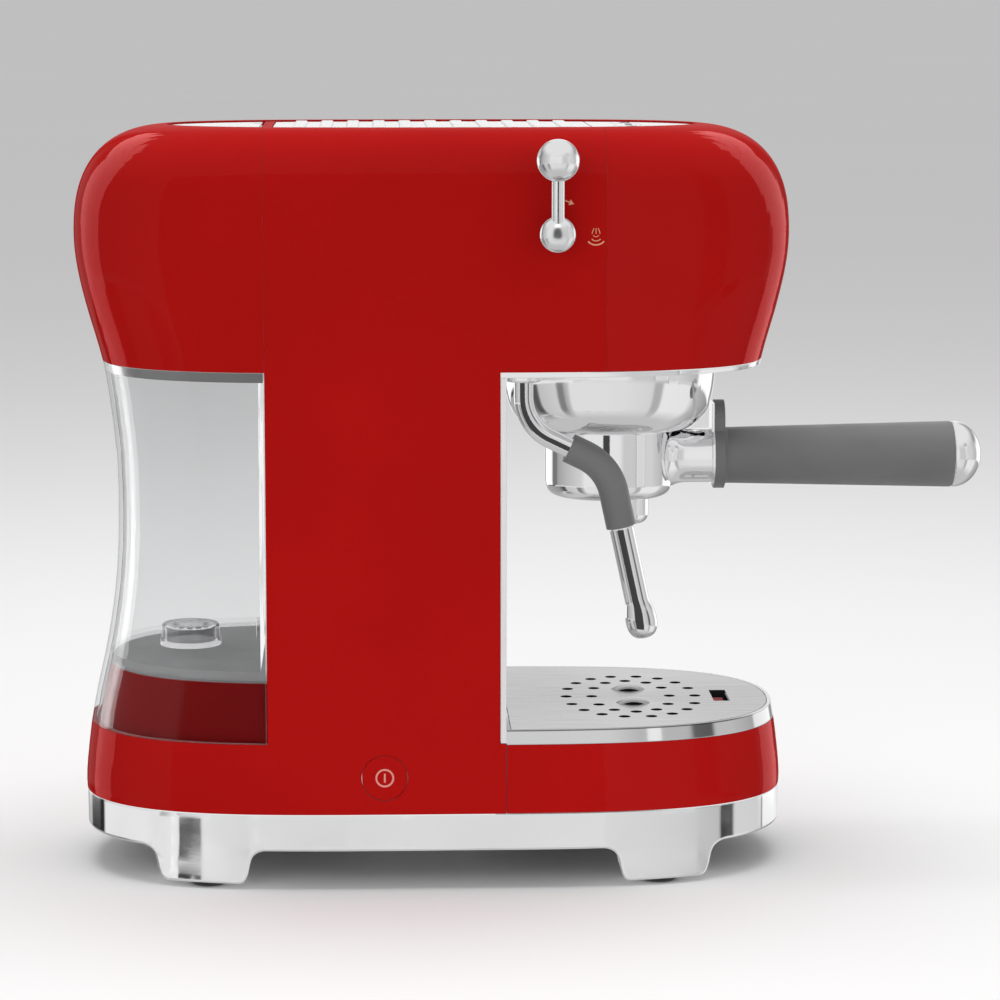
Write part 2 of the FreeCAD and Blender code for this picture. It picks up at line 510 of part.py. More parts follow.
out("shower_screw", fuse(revolve([(0, 213.7), (3.6, 213.7), (4.4, 214.7), (0, 214.7)], X_GROUP),
                         cyl(2.1, (X_GROUP, 0, 214.6), (0, 0, 1), 6.0)).cut(box(X_GROUP - 3, X_GROUP + 3, -0.4, 0.4, 213, 214.2)))

# ------------------------------------------------------------------ filter holder
Z_AX = 182.6              # height of the handle's axis
pf_pts = [(0.0, 165.0), [(22.8, 165.0), (25.2, 165.4), (27.1, 166.6), (28.4, 168.5), (28.9, 170.6), (29.0, 172.6)],
          (29.0, 199.2), (31.6, 201.6), (31.6, 212.2), (27.6, 212.2), (27.6, 187.0), (24.0, 175.0), (8.0, 170.0), (0.0, 170.0)]
pf = revolve(pf_pts, X_GROUP)
for a in (90.0, 270.0):
    lug = Part.makeCylinder(36.8, 4.2, V(X_GROUP, 0, 205.2), V(0, 0, 1), 40.0)
    lug.rotate(V(X_GROUP, 0, 0), V(0, 0, 1), a - 20.0)
    lug = lug.cut(cyl(30.0, (X_GROUP, 0, 200), (0, 0, 1), 20))
    pf = pf.fuse(lug)
X_NECK = 127.5
neck_pts = [(X_GROUP + 24, 0), [(X_GROUP + 24, 15.6), (X_GROUP + 26.5, 15.0), (X_GROUP + 28.6, 13.9), (X_GROUP + 31, 12.9), (X_GROUP + 34, 12.4), (X_GROUP + 37, 12.3)],
            (X_NECK, 12.3), (X_NECK, 0)]
neck = revolve_x(neck_pts, 0, Z_AX).cut(cyl(28.0, (X_GROUP, 0, 150), (0, 0, 1), 80))
pf = pf.fuse(neck)
pf = pf.cut(cyl(4.1, (X_GROUP + 30, 0, Z_AX), (1, 0, 0), 60))
X_SPOUT = 88.0
pf = pf.cut(cyl(4.0, (X_SPOUT, 0, 150), (0, 0, 1), 22))
# chrome back plate of the thumb guard
guard = fuse(box(X_NECK - 1.2, X_NECK, -7.0, 7.0, Z_AX + 5, Z_AX + 24.2), cyl(13.4, (X_NECK - 1.2, 0, Z_AX), (1, 0, 0), 1.2))
guard = guard.cut(cyl(4.1, (X_GROUP + 30, 0, Z_AX), (1, 0, 0), 60))
pf = pf.fuse(guard).removeSplitter()
out("portafilter_body", pf)
sp = fuse(box(X_SPOUT - 9.5, X_SPOUT + 9.5, -8.5, 8.5, 153.0, 164.8), cyl(9.5, (X_SPOUT, -8.5, 153.0), (0, 0, 1), 11.8), cyl(9.5, (X_SPOUT, 8.5, 153.0), (0, 0, 1), 11.8))
sp = sp.makeFillet(4.5, [e for e in sp.Edges if abs(e.BoundBox.ZMin - 153.0) < 1e-3 and abs(e.BoundBox.ZMax - 153.0) < 1e-3])
sp = sp.cut(box(X_SPOUT - 4, X_SPOUT + 4, -12.5, 12.5, 158.5, 162.0)).cut(cyl(2.6, (X_SPOUT, 0, 160), (0, 0, 1), 10))
for y in (-10.5, 10.5):
    sp = sp.cut(cyl(2.8, (X_SPOUT, y, 150), (0, 0, 1), 10))
sp = sp.fuse(tube(3.9, 2.6, (X_SPOUT, 0, 164.0), (0, 0, 1), 5.9)).removeSplitter()
out("portafilter_spout", sp)
bk = revolve([(0, 189.2), (24.6, 189.2), (26.4, 191.0), (26.9, 212.3), (31.2, 212.3), (31.2, 213.2), (26.2, 213.2), (25.7, 191.4), (24.2, 190.0), (0, 190.0)], X_GROUP)
for rr, n in ((5, 6), (10, 12), (15, 18), (20, 24)):
    for k in range(n):
        a = 2 * math.pi * k / n
        bk = bk.cut(cyl(0.6, (X_GROUP + rr * math.cos(a), rr * math.sin(a), 188), (0, 0, 1), 4))
out("filter_basket", bk)
col = fuse(cyl(15.0, (X_NECK + 0.1, 0, Z_AX), (1, 0, 0), 4.6), box(X_NECK + 0.1, X_NECK + 4.7, -9.0, 9.0, Z_AX, Z_AX + 18.0),
           cyl(9.0, (X_NECK + 0.1, 0, Z_AX + 16.4), (1, 0, 0), 4.6))
col = col.cut(cyl(4.1, (X_NECK - 5, 0, Z_AX), (1, 0, 0), 60))
out("handle_collar", col)
X_GRIP0, X_GRIP1 = X_NECK + 4.8, 236.4
grip = revolve_x([(X_GRIP0, 4.1), (X_GRIP0, 13.2), (X_GRIP0 + 1.2, 12.75), (X_GRIP0 + 3, 12.75), (X_GRIP1 - 1.0, 15.0), (X_GRIP1, 14.6), (X_GRIP1, 4.1)], 0, Z_AX)
out("handle_grip", grip)
capx = X_GRIP1 + 0.1
cap_pts = [(capx, 0.0), (capx, 14.7), [(capx + 0.5, 15.0)] + [(capx + 0.6 + 12.9 * math.sin(math.radians(t)), 15.0 * math.cos(math.radians(t)) if t < 90 else 0.0)
                                                              for t in range(12, 91, 13)]]
hc = revolve_x(cap_pts, 0, Z_AX).cut(cyl(4.05, (capx - 1, 0, Z_AX), (1, 0, 0), 7.0))
out("handle_cap", hc)
out("handle_rod", cyl(4.0, (X_GROUP + 30.5, 0, Z_AX), (1, 0, 0), capx + 5.5 - X_GROUP - 30.5))

# ------------------------------------------------------------------ steam lever and valve
Y_LEV = -83.2
L_BALL = 31.7
R_BALL = 9.1
lx, lz = LEVER
ball = Part.makeSphere(R_BALL, V(lx, Y_LEV, lz + L_BALL))
rod = cyl(2.65, (lx, Y_LEV, lz), (0, 0, 1), L_BALL)
hub = revolve_y([[(-86.8, 0.0), (-86.6, 2.8), (-85.8, 5.0), (-84.4, 6.7), (-82.6, 7.5), (-80.4, 7.6), (-78.4, 7.0), (-76.8, 6.2), (-75.0, 5.8)], (-75.0, 0.0)], lx, lz)
lever = fuse(hub, rod, ball).cut(cyl(2.0, (lx, -81.0, lz), (0, 1, 0), 12))
out("steam_lever", lever)
out("lever_spindle", fuse(cyl(1.95, (lx, -80.9, lz), (0, 1, 0), 10), cyl(3.2, (lx, -74.4, lz), (0, 1, 0), 26.0)))
valve = revolve_y([(-70.4, 3.25), (-70.4, 8.0), (-66.0, 8.0), (-66.0, 12.0), (-36.0, 12.0), (-36.0, 0.0), (-47.8, 0.0), (-47.8, 3.25)], lx, lz)
valve = valve.fuse(cyl(5.0, (lx, -44.0, lz - 20), (0, 0, 1), 14)).fuse(cyl(5.0, (lx + 6, -44.0, lz), (1, 0, 0), 14))
valve = valve.removeSplitter()
out("steam_valve", valve)

# ------------------------------------------------------------------ steam wand
wx, wy = WAND
wand_sock = revolve([(5.6, 222.2), (7.4, 222.2), (8.0, 223.0), (8.0, 226.1), (6.1, 226.1), (6.1, 236.0), (5.6, 236.0)], wx, wy)
wand_sock = wand_sock.fuse(revolve([(6.1, 228.5), (11.0, 228.5), (11.0, 231.0), (6.1, 231.0)], wx, wy)).removeSplitter()
out("wand_socket", wand_sock)
W1 = (wx, wy, 202.4)
d26 = (math.cos(math.radians(26)), -math.sin(math.radians(26)))
W2 = (W1[0] + 41.6 * d26[0], wy, W1[2] + 41.6 * d26[1])
d77 = (math.cos(math.radians(77.7)), -math.sin(math.radians(77.7)))
W3 = (W2[0] + 72.0 * d77[0], wy, W2[2] + 72.0 * d77[1])
wand = bent_tube(4.3, [((wx, wy, 234.0), 0), (W1, 21.0), (W2, 24.0), (W3, 0)], 1.8)
wand = wand.fuse(tube(5.55, 3.0, (wx, wy, 223.0), (0, 0, 1), 11.0)).removeSplitter()
out("wand_tube", wand)


def along(p, d, s):
    return (p[0] + d[0] * s, wy, p[2] + d[1] * s)


sl0 = along(W2, d26, -19.3)
sl1 = along(W2, d77, 27.1)
sleeve = bent_tube(6.6, [(sl0, 0), (W2, 24.0), (sl1, 0)], 4.35)
out("wand_sleeve", sleeve)
nz_dir = (d77[0], 0, d77[1])
n0 = along(W2, d77, 27.4)
NOZ = 50.8
pts = [(0, 0.0), (0, 5.0), (0.5, 5.4), [(32.6, 5.4), (35.0, 5.6), (37.4, 6.2), (40.0, 6.8), (43.2, 7.0), (46.4, 6.6), (48.8, 5.5), (50.3, 3.7), (NOZ, 1.6)], (NOZ, 0.0)]
noz = profile_face(pts, lambda t, r: V(r, 0, t)).revolve(V(0, 0, 0), V(0, 0, 1), 360)
noz = noz.cut(cyl(4.35, (0, 0, -1), (0, 0, 1), 46.5)).cut(cyl(1.0, (0, 0, 30), (0, 0, 1), 30))
rot = FreeCAD.Rotation(V(0, 0, 1), V(*nz_dir))
noz.Placement = FreeCAD.Placement(V(*n0), rot)
out("wand_nozzle", noz)

# ------------------------------------------------------------------ buttons
for (x, y), name in zip(BUTTONS, ("button_one_cup", "button_two_cups", "button_steam")):
    b = revolve([(0, 324.5), (3.0, 324.5), (3.0, 326.2), (6.2, 326.2), (6.2, 331.9), (5.7, 332.4), (0, 332.4)], x, y)
    out(name, b)
bx, bz = POWER
pb = revolve_y([(-74.3, 0.0), (-74.3, 9.85), (-74.15, 10.0), (-69.4, 10.0), (-69.4, 4.0), (-64.0, 4.0), (-64.0, 0.0)], bx, bz)
out("power_button", pb)
out("power_switch", fuse(box(bx - 7, bx + 7, -61.8, -52.0, bz - 6, bz + 6), box(bx - 4, bx + 4, -52.0, -46.0, bz - 4, bz - 3.2), box(bx - 4, bx + 4, -52.0, -46.0, bz + 3.2, bz + 4)))
bb = box(76.5, 104.0, -33.0, 33.0, 316.0, 317.6)
sw = [box(x - 3, x + 3, y - 3, y + 3, 317.6, 321.6) for x, y in BUTTONS]
tips = [cyl(1.5, (x, y, 321.6), (0, 0, 1), 1.6) for x, y in BUTTONS]
out("button_board", fuse(bb, *sw, *tips))

# ------------------------------------------------------------------ works inside
frame = fuse(box(-60, -57.5, -54, 54, 34.4, 222), box(-60, 20, -60, 60, 66.4, 68.6), box(-60, 107.2, -30, 30, 292.0, 294.0),
             box(-60, -57.5, -30, 30, 222, 294), box(105, 107.2, -30, 30, 276, 294))
frame = frame.cut(box(-70, -50, -12, 12, 90, 118)).cut(box(-40, -4, -16, 16, 60, 75))
out("inner_frame", frame)
tb = fuse(box(48, 110, -32, 32, 232.2, 262.0), cyl(20.0, (X_GROUP, 0, 262), (0, 0, 1), 10.0))
tb = tb.makeFillet(4.0, [e for e in tb.Edges if abs(e.BoundBox.ZMax - e.BoundBox.ZMin) > 25 and e.BoundBox.ZMax < 262.5])
for y in (-20, 20):
    tb = tb.fuse(cyl(4.2, (40, y, 247), (1, 0, 0), 12))
out("thermoblock", tb.removeSplitter())
PX, PY = -18.0, 0.0
pump = fuse(cyl(19.0, (PX, PY, 92), (0, 0, 1), 42), cyl(9.0, (PX, PY, 134), (0, 0, 1), 16), cyl(5.0, (PX, PY, 150), (0, 0, 1), 12),
            cyl(9.0, (PX, PY, 82), (0, 0, 1), 10), cyl(5.0, (PX, PY, 72), (0, 0, 1), 10), box(PX - 23, PX + 23, -14, 14, 97, 129))
out("pump", pump)
out("pump_mounts", Part.makeCompound([tube(12.0, 9.05, (PX, PY, 134.05), (0, 0, 1), 8), tube(12.0, 9.05, (PX, PY, 83.5), (0, 0, 1), 8)]))
out("suction_hose", bent_tube(4.4, [((PX, PY, 71.9), 0), ((PX, PY, 56.0), 10.0), ((-36.0, 0, 56.0), 0)], 2.4))
out("pressure_hose", bent_tube(3.2, [((PX, PY, 162.1), 0), ((PX, PY, 247.0), 24.0), ((10.0, 20, 247.0), 20.0), ((39.8, 20, 247.0), 0)], 1.6))
out("steam_pipe", fuse(bent_tube(3.0, [((lx, -44.0, lz - 20.1), 0), ((lx, -44.0, 252.0), 6.0), ((wx, wy, 246.0), 6.0), ((wx, wy, 236.1), 0)], 1.5)))
sol = fuse(cyl(11.0, (124, 0, 240), (0, 0, 1), 26), box(114, 134, -13, 13, 244, 262), box(112, 136, -8, 8, 232.2, 240))
out("solenoid_valve", sol)
board = box(-50, 16, 56.0, 57.6, 150, 222)
comps = [box(-42, -22, 46, 56, 160, 180), box(-10, 6, 42, 56, 158, 176), cyl(5, (-32, 56, 200), (0, -1, 0), 16), cyl(4, (-14, 56, 204), (0, -1, 0), 14), box(0, 10, 50, 56, 192, 214)]
out("control_board", fuse(board, *comps))

# ------------------------------------------------------------------ write one file per piece
# The origin is under the middle of the whole object, so every piece moves by this much.
X_FRAME = -(X_GRIP1 + 13.6 - half_len(284.0)) / 2
Y_FRAME = -(HALF_W + Y_LEV - R_BALL) / 2
print("frame shift", X_FRAME, Y_FRAME)
total = 0
for name, shape in sorted(PARTS.items()):
    bad = [s for s in shape.Solids if not s.isValid() or s.Volume <= 0]
    nsol = len(shape.Solids)
    if nsol == 0 or bad:
        print("CHECK", name, "solids", nsol, "bad", len(bad))
    bb_ = shape.BoundBox
    print("%-20s solids %d vol %.1f cm3  x %.1f..%.1f y %.1f..%.1f z %.1f..%.1f" % (
        name, nsol, shape.Volume / 1000, bb_.XMin, bb_.XMax, bb_.YMin, bb_.YMax, bb_.ZMin, bb_.ZMax))
    comp = shape.Solids[0].copy() if nsol == 1 else Part.makeCompound(shape.Solids)
    comp.translate(V(X_FRAME, Y_FRAME, 0))
    comp.exportStep("parts/%s.step" % name)
    total += 1
print("pieces", total)
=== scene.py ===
import math

import bmesh
import bpy
from mathutils import Matrix, Vector
from mathutils.bvhtree import BVHTree


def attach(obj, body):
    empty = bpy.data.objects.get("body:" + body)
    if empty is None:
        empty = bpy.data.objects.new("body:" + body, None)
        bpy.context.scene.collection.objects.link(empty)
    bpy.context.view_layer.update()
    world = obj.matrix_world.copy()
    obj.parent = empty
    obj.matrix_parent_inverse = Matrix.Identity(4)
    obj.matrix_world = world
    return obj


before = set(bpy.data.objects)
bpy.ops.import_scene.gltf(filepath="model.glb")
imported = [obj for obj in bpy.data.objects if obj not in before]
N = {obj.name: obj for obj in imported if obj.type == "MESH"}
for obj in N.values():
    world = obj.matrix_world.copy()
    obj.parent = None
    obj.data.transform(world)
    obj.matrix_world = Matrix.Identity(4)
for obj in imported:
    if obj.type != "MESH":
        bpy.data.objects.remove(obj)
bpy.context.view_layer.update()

SC = bpy.context.scene
SC.view_settings.view_transform = "Standard"
SC.view_settings.look = "None"

# Drawing coordinates: millimetres from the middle of the base, on the plane the feet stand on.
X_FRAME, Y_FRAME = -44.85, 8.9


def P(x, y, z):
    """Drawing millimetres to row-frame metres."""
    return Vector(((x + X_FRAME) / 1000, (y + Y_FRAME) / 1000, z / 1000))


# ------------------------------------------------------------------ camera
cam_data = bpy.data.cameras.new("camera")
cam = bpy.data.objects.new("camera", cam_data)
SC.collection.objects.link(cam)
cam.location = P(-29.52, -1590.79, 392.29)
yaw, pitch = 0.0377245, 0.1434364
aim = Vector((math.sin(yaw) * math.cos(pitch), math.cos(yaw) * math.cos(pitch), -math.sin(pitch)))
cam.rotation_mode = "QUATERNION"
cam.rotation_quaternion = aim.to_track_quat("-Z", "Y")
cam_data.sensor_width = 36.0
cam_data.lens = 36.0 * 3534.3 / 1000.0
cam_data.clip_start, cam_data.clip_end = 0.05, 400.0
SC.camera = cam

# ------------------------------------------------------------------ studio: floor, world, soft boxes


def nodes_of(tree):
    tree.nodes.clear()
    return tree.nodes, tree.links


def ramp(nodes, stops, interp="LINEAR"):
    r = nodes.new("ShaderNodeValToRGB")
    r.color_ramp.interpolation = interp
    el = r.color_ramp.elements
    while len(el) > 1:
        el.remove(el[-1])
    for i, (pos, val) in enumerate(stops):
        e = el[0] if i == 0 else el.new(pos)
        e.position = pos
        c = val if isinstance(val, (tuple, list)) else (val, val, val)
        e.color = (c[0], c[1], c[2], 1.0)
    return r


def math_node(nodes, op, a=None, b=None, clamp=False):
    m = nodes.new("ShaderNodeMath")
    m.operation = op
    m.use_clamp = clamp
    if a is not None and not hasattr(a, "is_linked"):
        m.inputs[0].default_value = a
    if b is not None and not hasattr(b, "is_linked"):
        m.inputs[1].default_value = b
    return m


def make_world():
    w = bpy.data.worlds.new("studio")
    SC.world = w
    w.use_nodes = True
    n, l = nodes_of(w.node_tree)
    tc = n.new("ShaderNodeTexCoord")
    sep = n.new("ShaderNodeSeparateXYZ")
    l.new(tc.outputs["Generated"], sep.inputs[0])
    # azimuth about the vertical, 0.5 towards the front of the studio
    neg = math_node(n, "MULTIPLY", b=-1.0)
    l.new(sep.outputs["Y"], neg.inputs[0])
    at = math_node(n, "ARCTAN2")
    l.new(sep.outputs["X"], at.inputs[0])
    l.new(neg.outputs[0], at.inputs[1])
    az = math_node(n, "MULTIPLY_ADD", b=1.0 / (2 * math.pi))
    az.inputs[2].default_value = 0.5
    l.new(at.outputs[0], az.inputs[0])

    def A(deg):
        return (deg + 180.0) / 360.0

    zz = math_node(n, "MULTIPLY_ADD", b=0.5)
    zz.inputs[2].default_value = 0.5
    l.new(sep.outputs["Z"], zz.inputs[0])

    # three rows of reflectors and black flags: a narrow low row near the floor line, one above and one below it
    low = ramp(n, [(A(-180), 0.45), (A(-152), 0.45), (A(-148), 0.02), (A(-121), 0.02), (A(-118), 0.80), (A(-117), 0.95), (A(-46), 0.95), (A(-41), 0.09),
                   (A(-33), 0.07), (A(-32), 0.82), (A(0), 0.84), (A(40), 0.72), (A(64), 0.58), (A(66), 0.05), (A(76), 0.08),
                   (A(79), 0.75), (A(115.5), 0.72), (A(116.5), 0.06), (A(117.5), 0.06), (A(118.5), 0.95), (A(158), 0.95), (A(180), 0.45)])
    l.new(az.outputs[0], low.inputs[0])
    mid = ramp(n, [(A(-180), 0.98), (A(-171), 0.98), (A(-168), 0.20), (A(-163), 0.20), (A(-160), 0.35), (A(-126), 0.35), (A(-123), 0.20), (A(-113), 0.22), (A(-108), 0.42),
                   (A(-87), 0.56), (A(-55), 0.74), (A(-48), 0.90), (A(0), 0.92), (A(16), 0.90), (A(24), 0.68), (A(40), 0.68), (A(46), 0.66), (A(49), 0.17),
                   (A(62), 0.14), (A(65), 0.74), (A(80), 0.74), (A(84), 0.70), (A(108), 0.55), (A(112), 0.35), (A(158), 0.35), (A(166), 0.98), (A(180), 0.98)])
    l.new(az.outputs[0], mid.inputs[0])
    deep = ramp(n, [(A(-180), 0.50), (A(-110), 0.35), (A(-98), 0.10), (A(-92), 0.12), (A(-89), 0.62), (A(-66), 0.72), (A(-63), 0.26), (A(-57), 0.24),
                    (A(-55), 0.45), (A(-51), 0.58), (A(-48.5), 0.86), (A(0), 0.88), (A(40), 0.78), (A(46), 0.76), (A(49), 0.50), (A(57), 0.50), (A(60), 0.95),
                    (A(100), 0.93), (A(112), 0.55), (A(150), 0.30), (A(180), 0.50)])
    l.new(az.outputs[0], deep.inputs[0])
    strips = ramp(n, [(A(-163), 0.0), (A(-160), 1.0), (A(-129), 0.8), (A(-126), 0.0), (A(109), 0.0), (A(112), 0.8), (A(147), 1.0), (A(151), 0.0)])
    l.new(az.outputs[0], strips.inputs[0])

    def window(sock, lo, hi):
        """1 between the two values, 0 elsewhere."""
        gt = math_node(n, "GREATER_THAN", b=lo)
        l.new(sock, gt.inputs[0])
        lt = math_node(n, "LESS_THAN", b=hi)
        l.new(sock, lt.inputs[0])
        both = math_node(n, "MULTIPLY")
        l.new(gt.outputs[0], both.inputs[0])
        l.new(lt.outputs[0], both.inputs[1])
        return both.outputs[0]

    def Z(deg):
        return math.sin(math.radians(deg)) * 0.5 + 0.5

    outer = n.new("ShaderNodeMix")
    outer.data_type = "RGBA"
    l.new(window(zz.outputs[0], Z(-13.0), 2.0), outer.inputs[0])
    l.new(deep.outputs[0], outer.inputs[6])
    l.new(mid.outputs[0], outer.inputs[7])
    walls = n.new("ShaderNodeMix")
    walls.data_type = "RGBA"
    l.new(window(zz.outputs[0], Z(-13.89), Z(-12.42)), walls.inputs[0])
    l.new(outer.outputs[2], walls.inputs[6])
    l.new(low.outputs[0], walls.inputs[7])
    # above and below the rows: a plain ceiling and a pale floor
    high = ramp(n, [(0.0, 0.0), (0.10, 0.0), (0.22, 1.0), (0.68, 1.0), (0.82, 0.0), (1.0, 0.0)])
    l.new(zz.outputs[0], high.inputs[0])
    plain = ramp(n, [(0.0, 0.60), (0.45, 0.70), (0.60, 0.82), (0.85, 0.9), (1.0, 0.9)])
    l.new(zz.outputs[0], plain.inputs[0])
    mix = n.new("ShaderNodeMix")
    mix.data_type = "RGBA"
    l.new(high.outputs[0], mix.inputs[0])
    l.new(plain.outputs[0], mix.inputs[6])
    l.new(walls.outputs[2], mix.inputs[7])
    # dark field straight ahead
    field = math_node(n, "MULTIPLY")
    l.new(window(az.outputs[0], A(-48.0), A(14.0)), field.inputs[0])
    l.new(window(zz.outputs[0], Z(-38.0), Z(25.95)), field.inputs[1])
    dim = math_node(n, "MULTIPLY_ADD", b=-0.93)
    dim.inputs[2].default_value = 1.0
    l.new(field.outputs[0], dim.inputs[0])
    wall_dim = n.new("ShaderNodeMix")
    wall_dim.data_type = "RGBA"
    wall_dim.blend_type = "MULTIPLY"
    wall_dim.inputs[0].default_value = 1.0
    l.new(mix.outputs[2], wall_dim.inputs[6])
    l.new(dim.outputs[0], wall_dim.inputs[7])
    # two tall strip lights behind the object
    tall = ramp(n, [(0.0, 0.0), (0.386, 0.0), (0.394, 1.0), (0.56, 1.0), (0.66, 0.0)])
    l.new(zz.outputs[0], tall.inputs[0])
    sh = math_node(n, "MULTIPLY")
    l.new(strips.outputs[0], sh.inputs[0])
    l.new(tall.outputs[0], sh.inputs[1])
    gain = math_node(n, "MULTIPLY", b=1.0)
    l.new(sh.outputs[0], gain.inputs[0])
    add = n.new("ShaderNodeMix")
    add.data_type = "RGBA"
    add.blend_type = "ADD"
    add.inputs[0].default_value = 1.0
    l.new(wall_dim.outputs[2], add.inputs[6])
    l.new(gain.outputs[0], add.inputs[7])
    # mirrors see the strips and flags of the studio, everything else a plain soft dome
    bg_mirror = n.new("ShaderNodeBackground")
    bg_mirror.inputs[1].default_value = 1.0
    l.new(add.outputs[2], bg_mirror.inputs[0])
    bg_dome = n.new("ShaderNodeBackground")
    bg_dome.inputs[0].default_value = (1.0, 1.0, 1.0, 1)
    bg_dome.inputs[1].default_value = 0.62
    bg_seen = n.new("ShaderNodeBackground")
    bg_seen.inputs[1].default_value = 1.0
    sweep = ramp(n, [(0.0, 0.52), (0.50, 0.52), (0.56, 0.57), (0.68, 0.64), (1.0, 0.66)])
    l.new(zz.outputs[0], sweep.inputs[0])
    l.new(sweep.outputs[0], bg_seen.inputs[0])
    lp = n.new("ShaderNodeLightPath")
    m1 = n.new("ShaderNodeMixShader")
    l.new(lp.outputs["Is Diffuse Ray"], m1.inputs[0])
    l.new(bg_seen.outputs[0], m1.inputs[1])
    l.new(bg_dome.outputs[0], m1.inputs[2])
    ms = n.new("ShaderNodeMixShader")
    l.new(lp.outputs["Is Glossy Ray"], ms.inputs[0])
    l.new(m1.outputs[0], ms.inputs[1])
    l.new(bg_mirror.outputs[0], ms.inputs[2])
    out = n.new("ShaderNodeOutputWorld")
    l.new(ms.outputs[0], out.inputs[0])


make_world()


def area(name, loc, target, size, energy, color=(1, 1, 1)):
    d = bpy.data.lights.new(name, "AREA")
    d.shape = "RECTANGLE"
    d.size, d.size_y = size
    d.energy = energy
    d.color = color
    o = bpy.data.objects.new(name, d)
    SC.collection.objects.link(o)
    o.location = loc
    o.rotation_mode = "QUATERNION"
    o.rotation_quaternion = (Vector(target) - Vector(loc)).to_track_quat("-Z", "Y")
    o.visible_camera = False
    o.visible_glossy = False
    return o


area("key_soft", (-0.9, -1.5, 0.75), (0, 0, 0.12), (1.2, 1.0), 5.0)
area("fill_soft", (1.3, -1.3, 0.55), (0, 0, 0.12), (1.0, 1.0), 3.2)
area("top_soft", (0.0, 0.10, 1.6), (0, 0, 0.2), (1.4, 1.0), 16.0)


def strip_light(name, az, el, radiance, receivers, dist=5.0, color=(1, 1, 1)):
    """Tall soft box that only the lacquer and the tank mirror: az and el are its spans in degrees."""
    mid_az, half = math.radians(sum(az) / 2), math.radians((az[1] - az[0]) / 2)
    z0, z1 = dist * math.tan(math.radians(el[0])), dist * math.tan(math.radians(el[1]))
    w, h = 2 * dist * math.tan(half), z1 - z0
    loc = Vector((dist * math.sin(mid_az), -dist * math.cos(mid_az), (z0 + z1) / 2))
    o = area(name, loc, (0, 0, loc.z), (w, h), radiance * math.pi * w * h, color)
    o.visible_glossy = True
    o.visible_diffuse = False
    o.visible_transmission = False
    o.light_linking.receiver_collection = receivers
    return o


def receivers(name, members):
    c = bpy.data.collections.new(name)
    for m in members:
        c.objects.link(N[m])
    return c


lacquer = receivers("lacquer_receivers", ("main_shell", "front_hood", "rear_hood", "tray_tub", "power_button"))


def bent_strip(name, rows, who):
    """Soft box with a bent outline: rows of (el, az from, az to, radiance, share of green and blue), joined by short pieces."""
    k = 0
    for (e0, a0, b0, r0, g0), (e1, a1, b1, r1, g1) in zip(rows, rows[1:]):
        n = 1 if e0 < -20 else max(1, round((e1 - e0) / 5.0))
        for i in range(n):
            t = (i + 0.5) / n
            c = g0 + (g1 - g0) * t
            strip_light("%s_%d" % (name, k), (a0 + (a1 - a0) * t, b0 + (b1 - b0) * t), (e0 + (e1 - e0) * i / n, e0 + (e1 - e0) * (i + 1) / n),
                        r0 + (r1 - r0) * t, who, 60.0, (1.0, c, c))
            k += 1


bent_strip("strip_rear", [(-40, -142, -110, 11, .28), (-15, -139, -107, 12, .28), (-8, -137, -105, 12, .30), (3, -140.5, -105, 13, .34), (12, -141, -103, 13.5, .38),
                          (24, -141, -102, 14, .42), (30, -141, -103.5, 14, .44), (36, -141, -106, 14, .44), (42, -141, -113, 14, .44), (47, -141, -124, 14, .44)], lacquer)
bent_strip("bar_rear", [(24, -168, -141, 14, .44), (30, -167, -141, 14, .44), (36, -162, -141, 14, .44), (42, -151, -141, 14, .44)], lacquer)
bent_strip("strip_front", [(-40, 117, 155, 11, .28), (-15, 117.5, 154, 12, .28), (-6, 117.5, 150, 12, .28), (-2, 115, 150, 12.5, .32), (1.5, 110, 147, 13, .34),
                           (8.5, 104, 141, 13.5, .38), (24, 102.5, 141, 14, .42), (30, 104.5, 141, 14, .44), (36, 108, 141, 14, .44), (42, 116, 141, 14, .44),
                           (47, 128, 141, 14, .44)], lacquer)
bent_strip("bar_front", [(24, 141, 168, 14, .44), (30, 141, 167, 14, .44), (36, 141, 161, 14, .44), (42, 141, 150, 14, .44)], lacquer)
base_fill = area("base_fill", P(0.0, -310.0, 20.0), P(0.0, -74.0, 35.0), (0.42, 0.05), 0.19)
base_fill.light_linking.receiver_collection = lacquer
tank = receivers("tank_receivers", ("water_tank", "tank_cap"))
strip_light("strip_tank", (-137.0, -118.0), (-40.0, 60.0), 11.0, tank)

# soft panels straight ahead, mirrored by the bright metal; the wand, the lever and a part of the filter holder see the dark field between them
HOLDER = ("portafilter_body", "portafilter_spout")
GROUP = HOLDER + ("group_bowl", "head_underplate", "tray_rim", "drip_grate", "handle_cap", "handle_grip", "handle_collar", "handle_rod", "wand_sleeve",
                  "wand_socket", "column_liner", "cup_warmer", "control_panel", "tank_flap", "button_one_cup", "button_two_cups", "button_steam",
                  "steam_lever", "filter_basket")
metal = receivers("metal_receivers", GROUP + ("base_skirt",))
group = receivers("group_receivers", GROUP)
skirt = receivers("skirt_receivers", ("base_skirt",))
not_rim = receivers("not_rim_receivers", [m for m in GROUP if m != "tray_rim"])
rim = receivers("rim_receivers", ("tray_rim",))
still = receivers("still_receivers", [m for m in GROUP if m != "steam_lever"] + ["base_skirt"])
still_wide = receivers("still_wide_receivers", [m for m in GROUP if m not in HOLDER and m != "steam_lever"] + ["base_skirt"])
BELT, LOW_BELT, DEEP_BELT = (-12.42, 25.95), (-13.89, -12.42), (-38.0, -13.89)
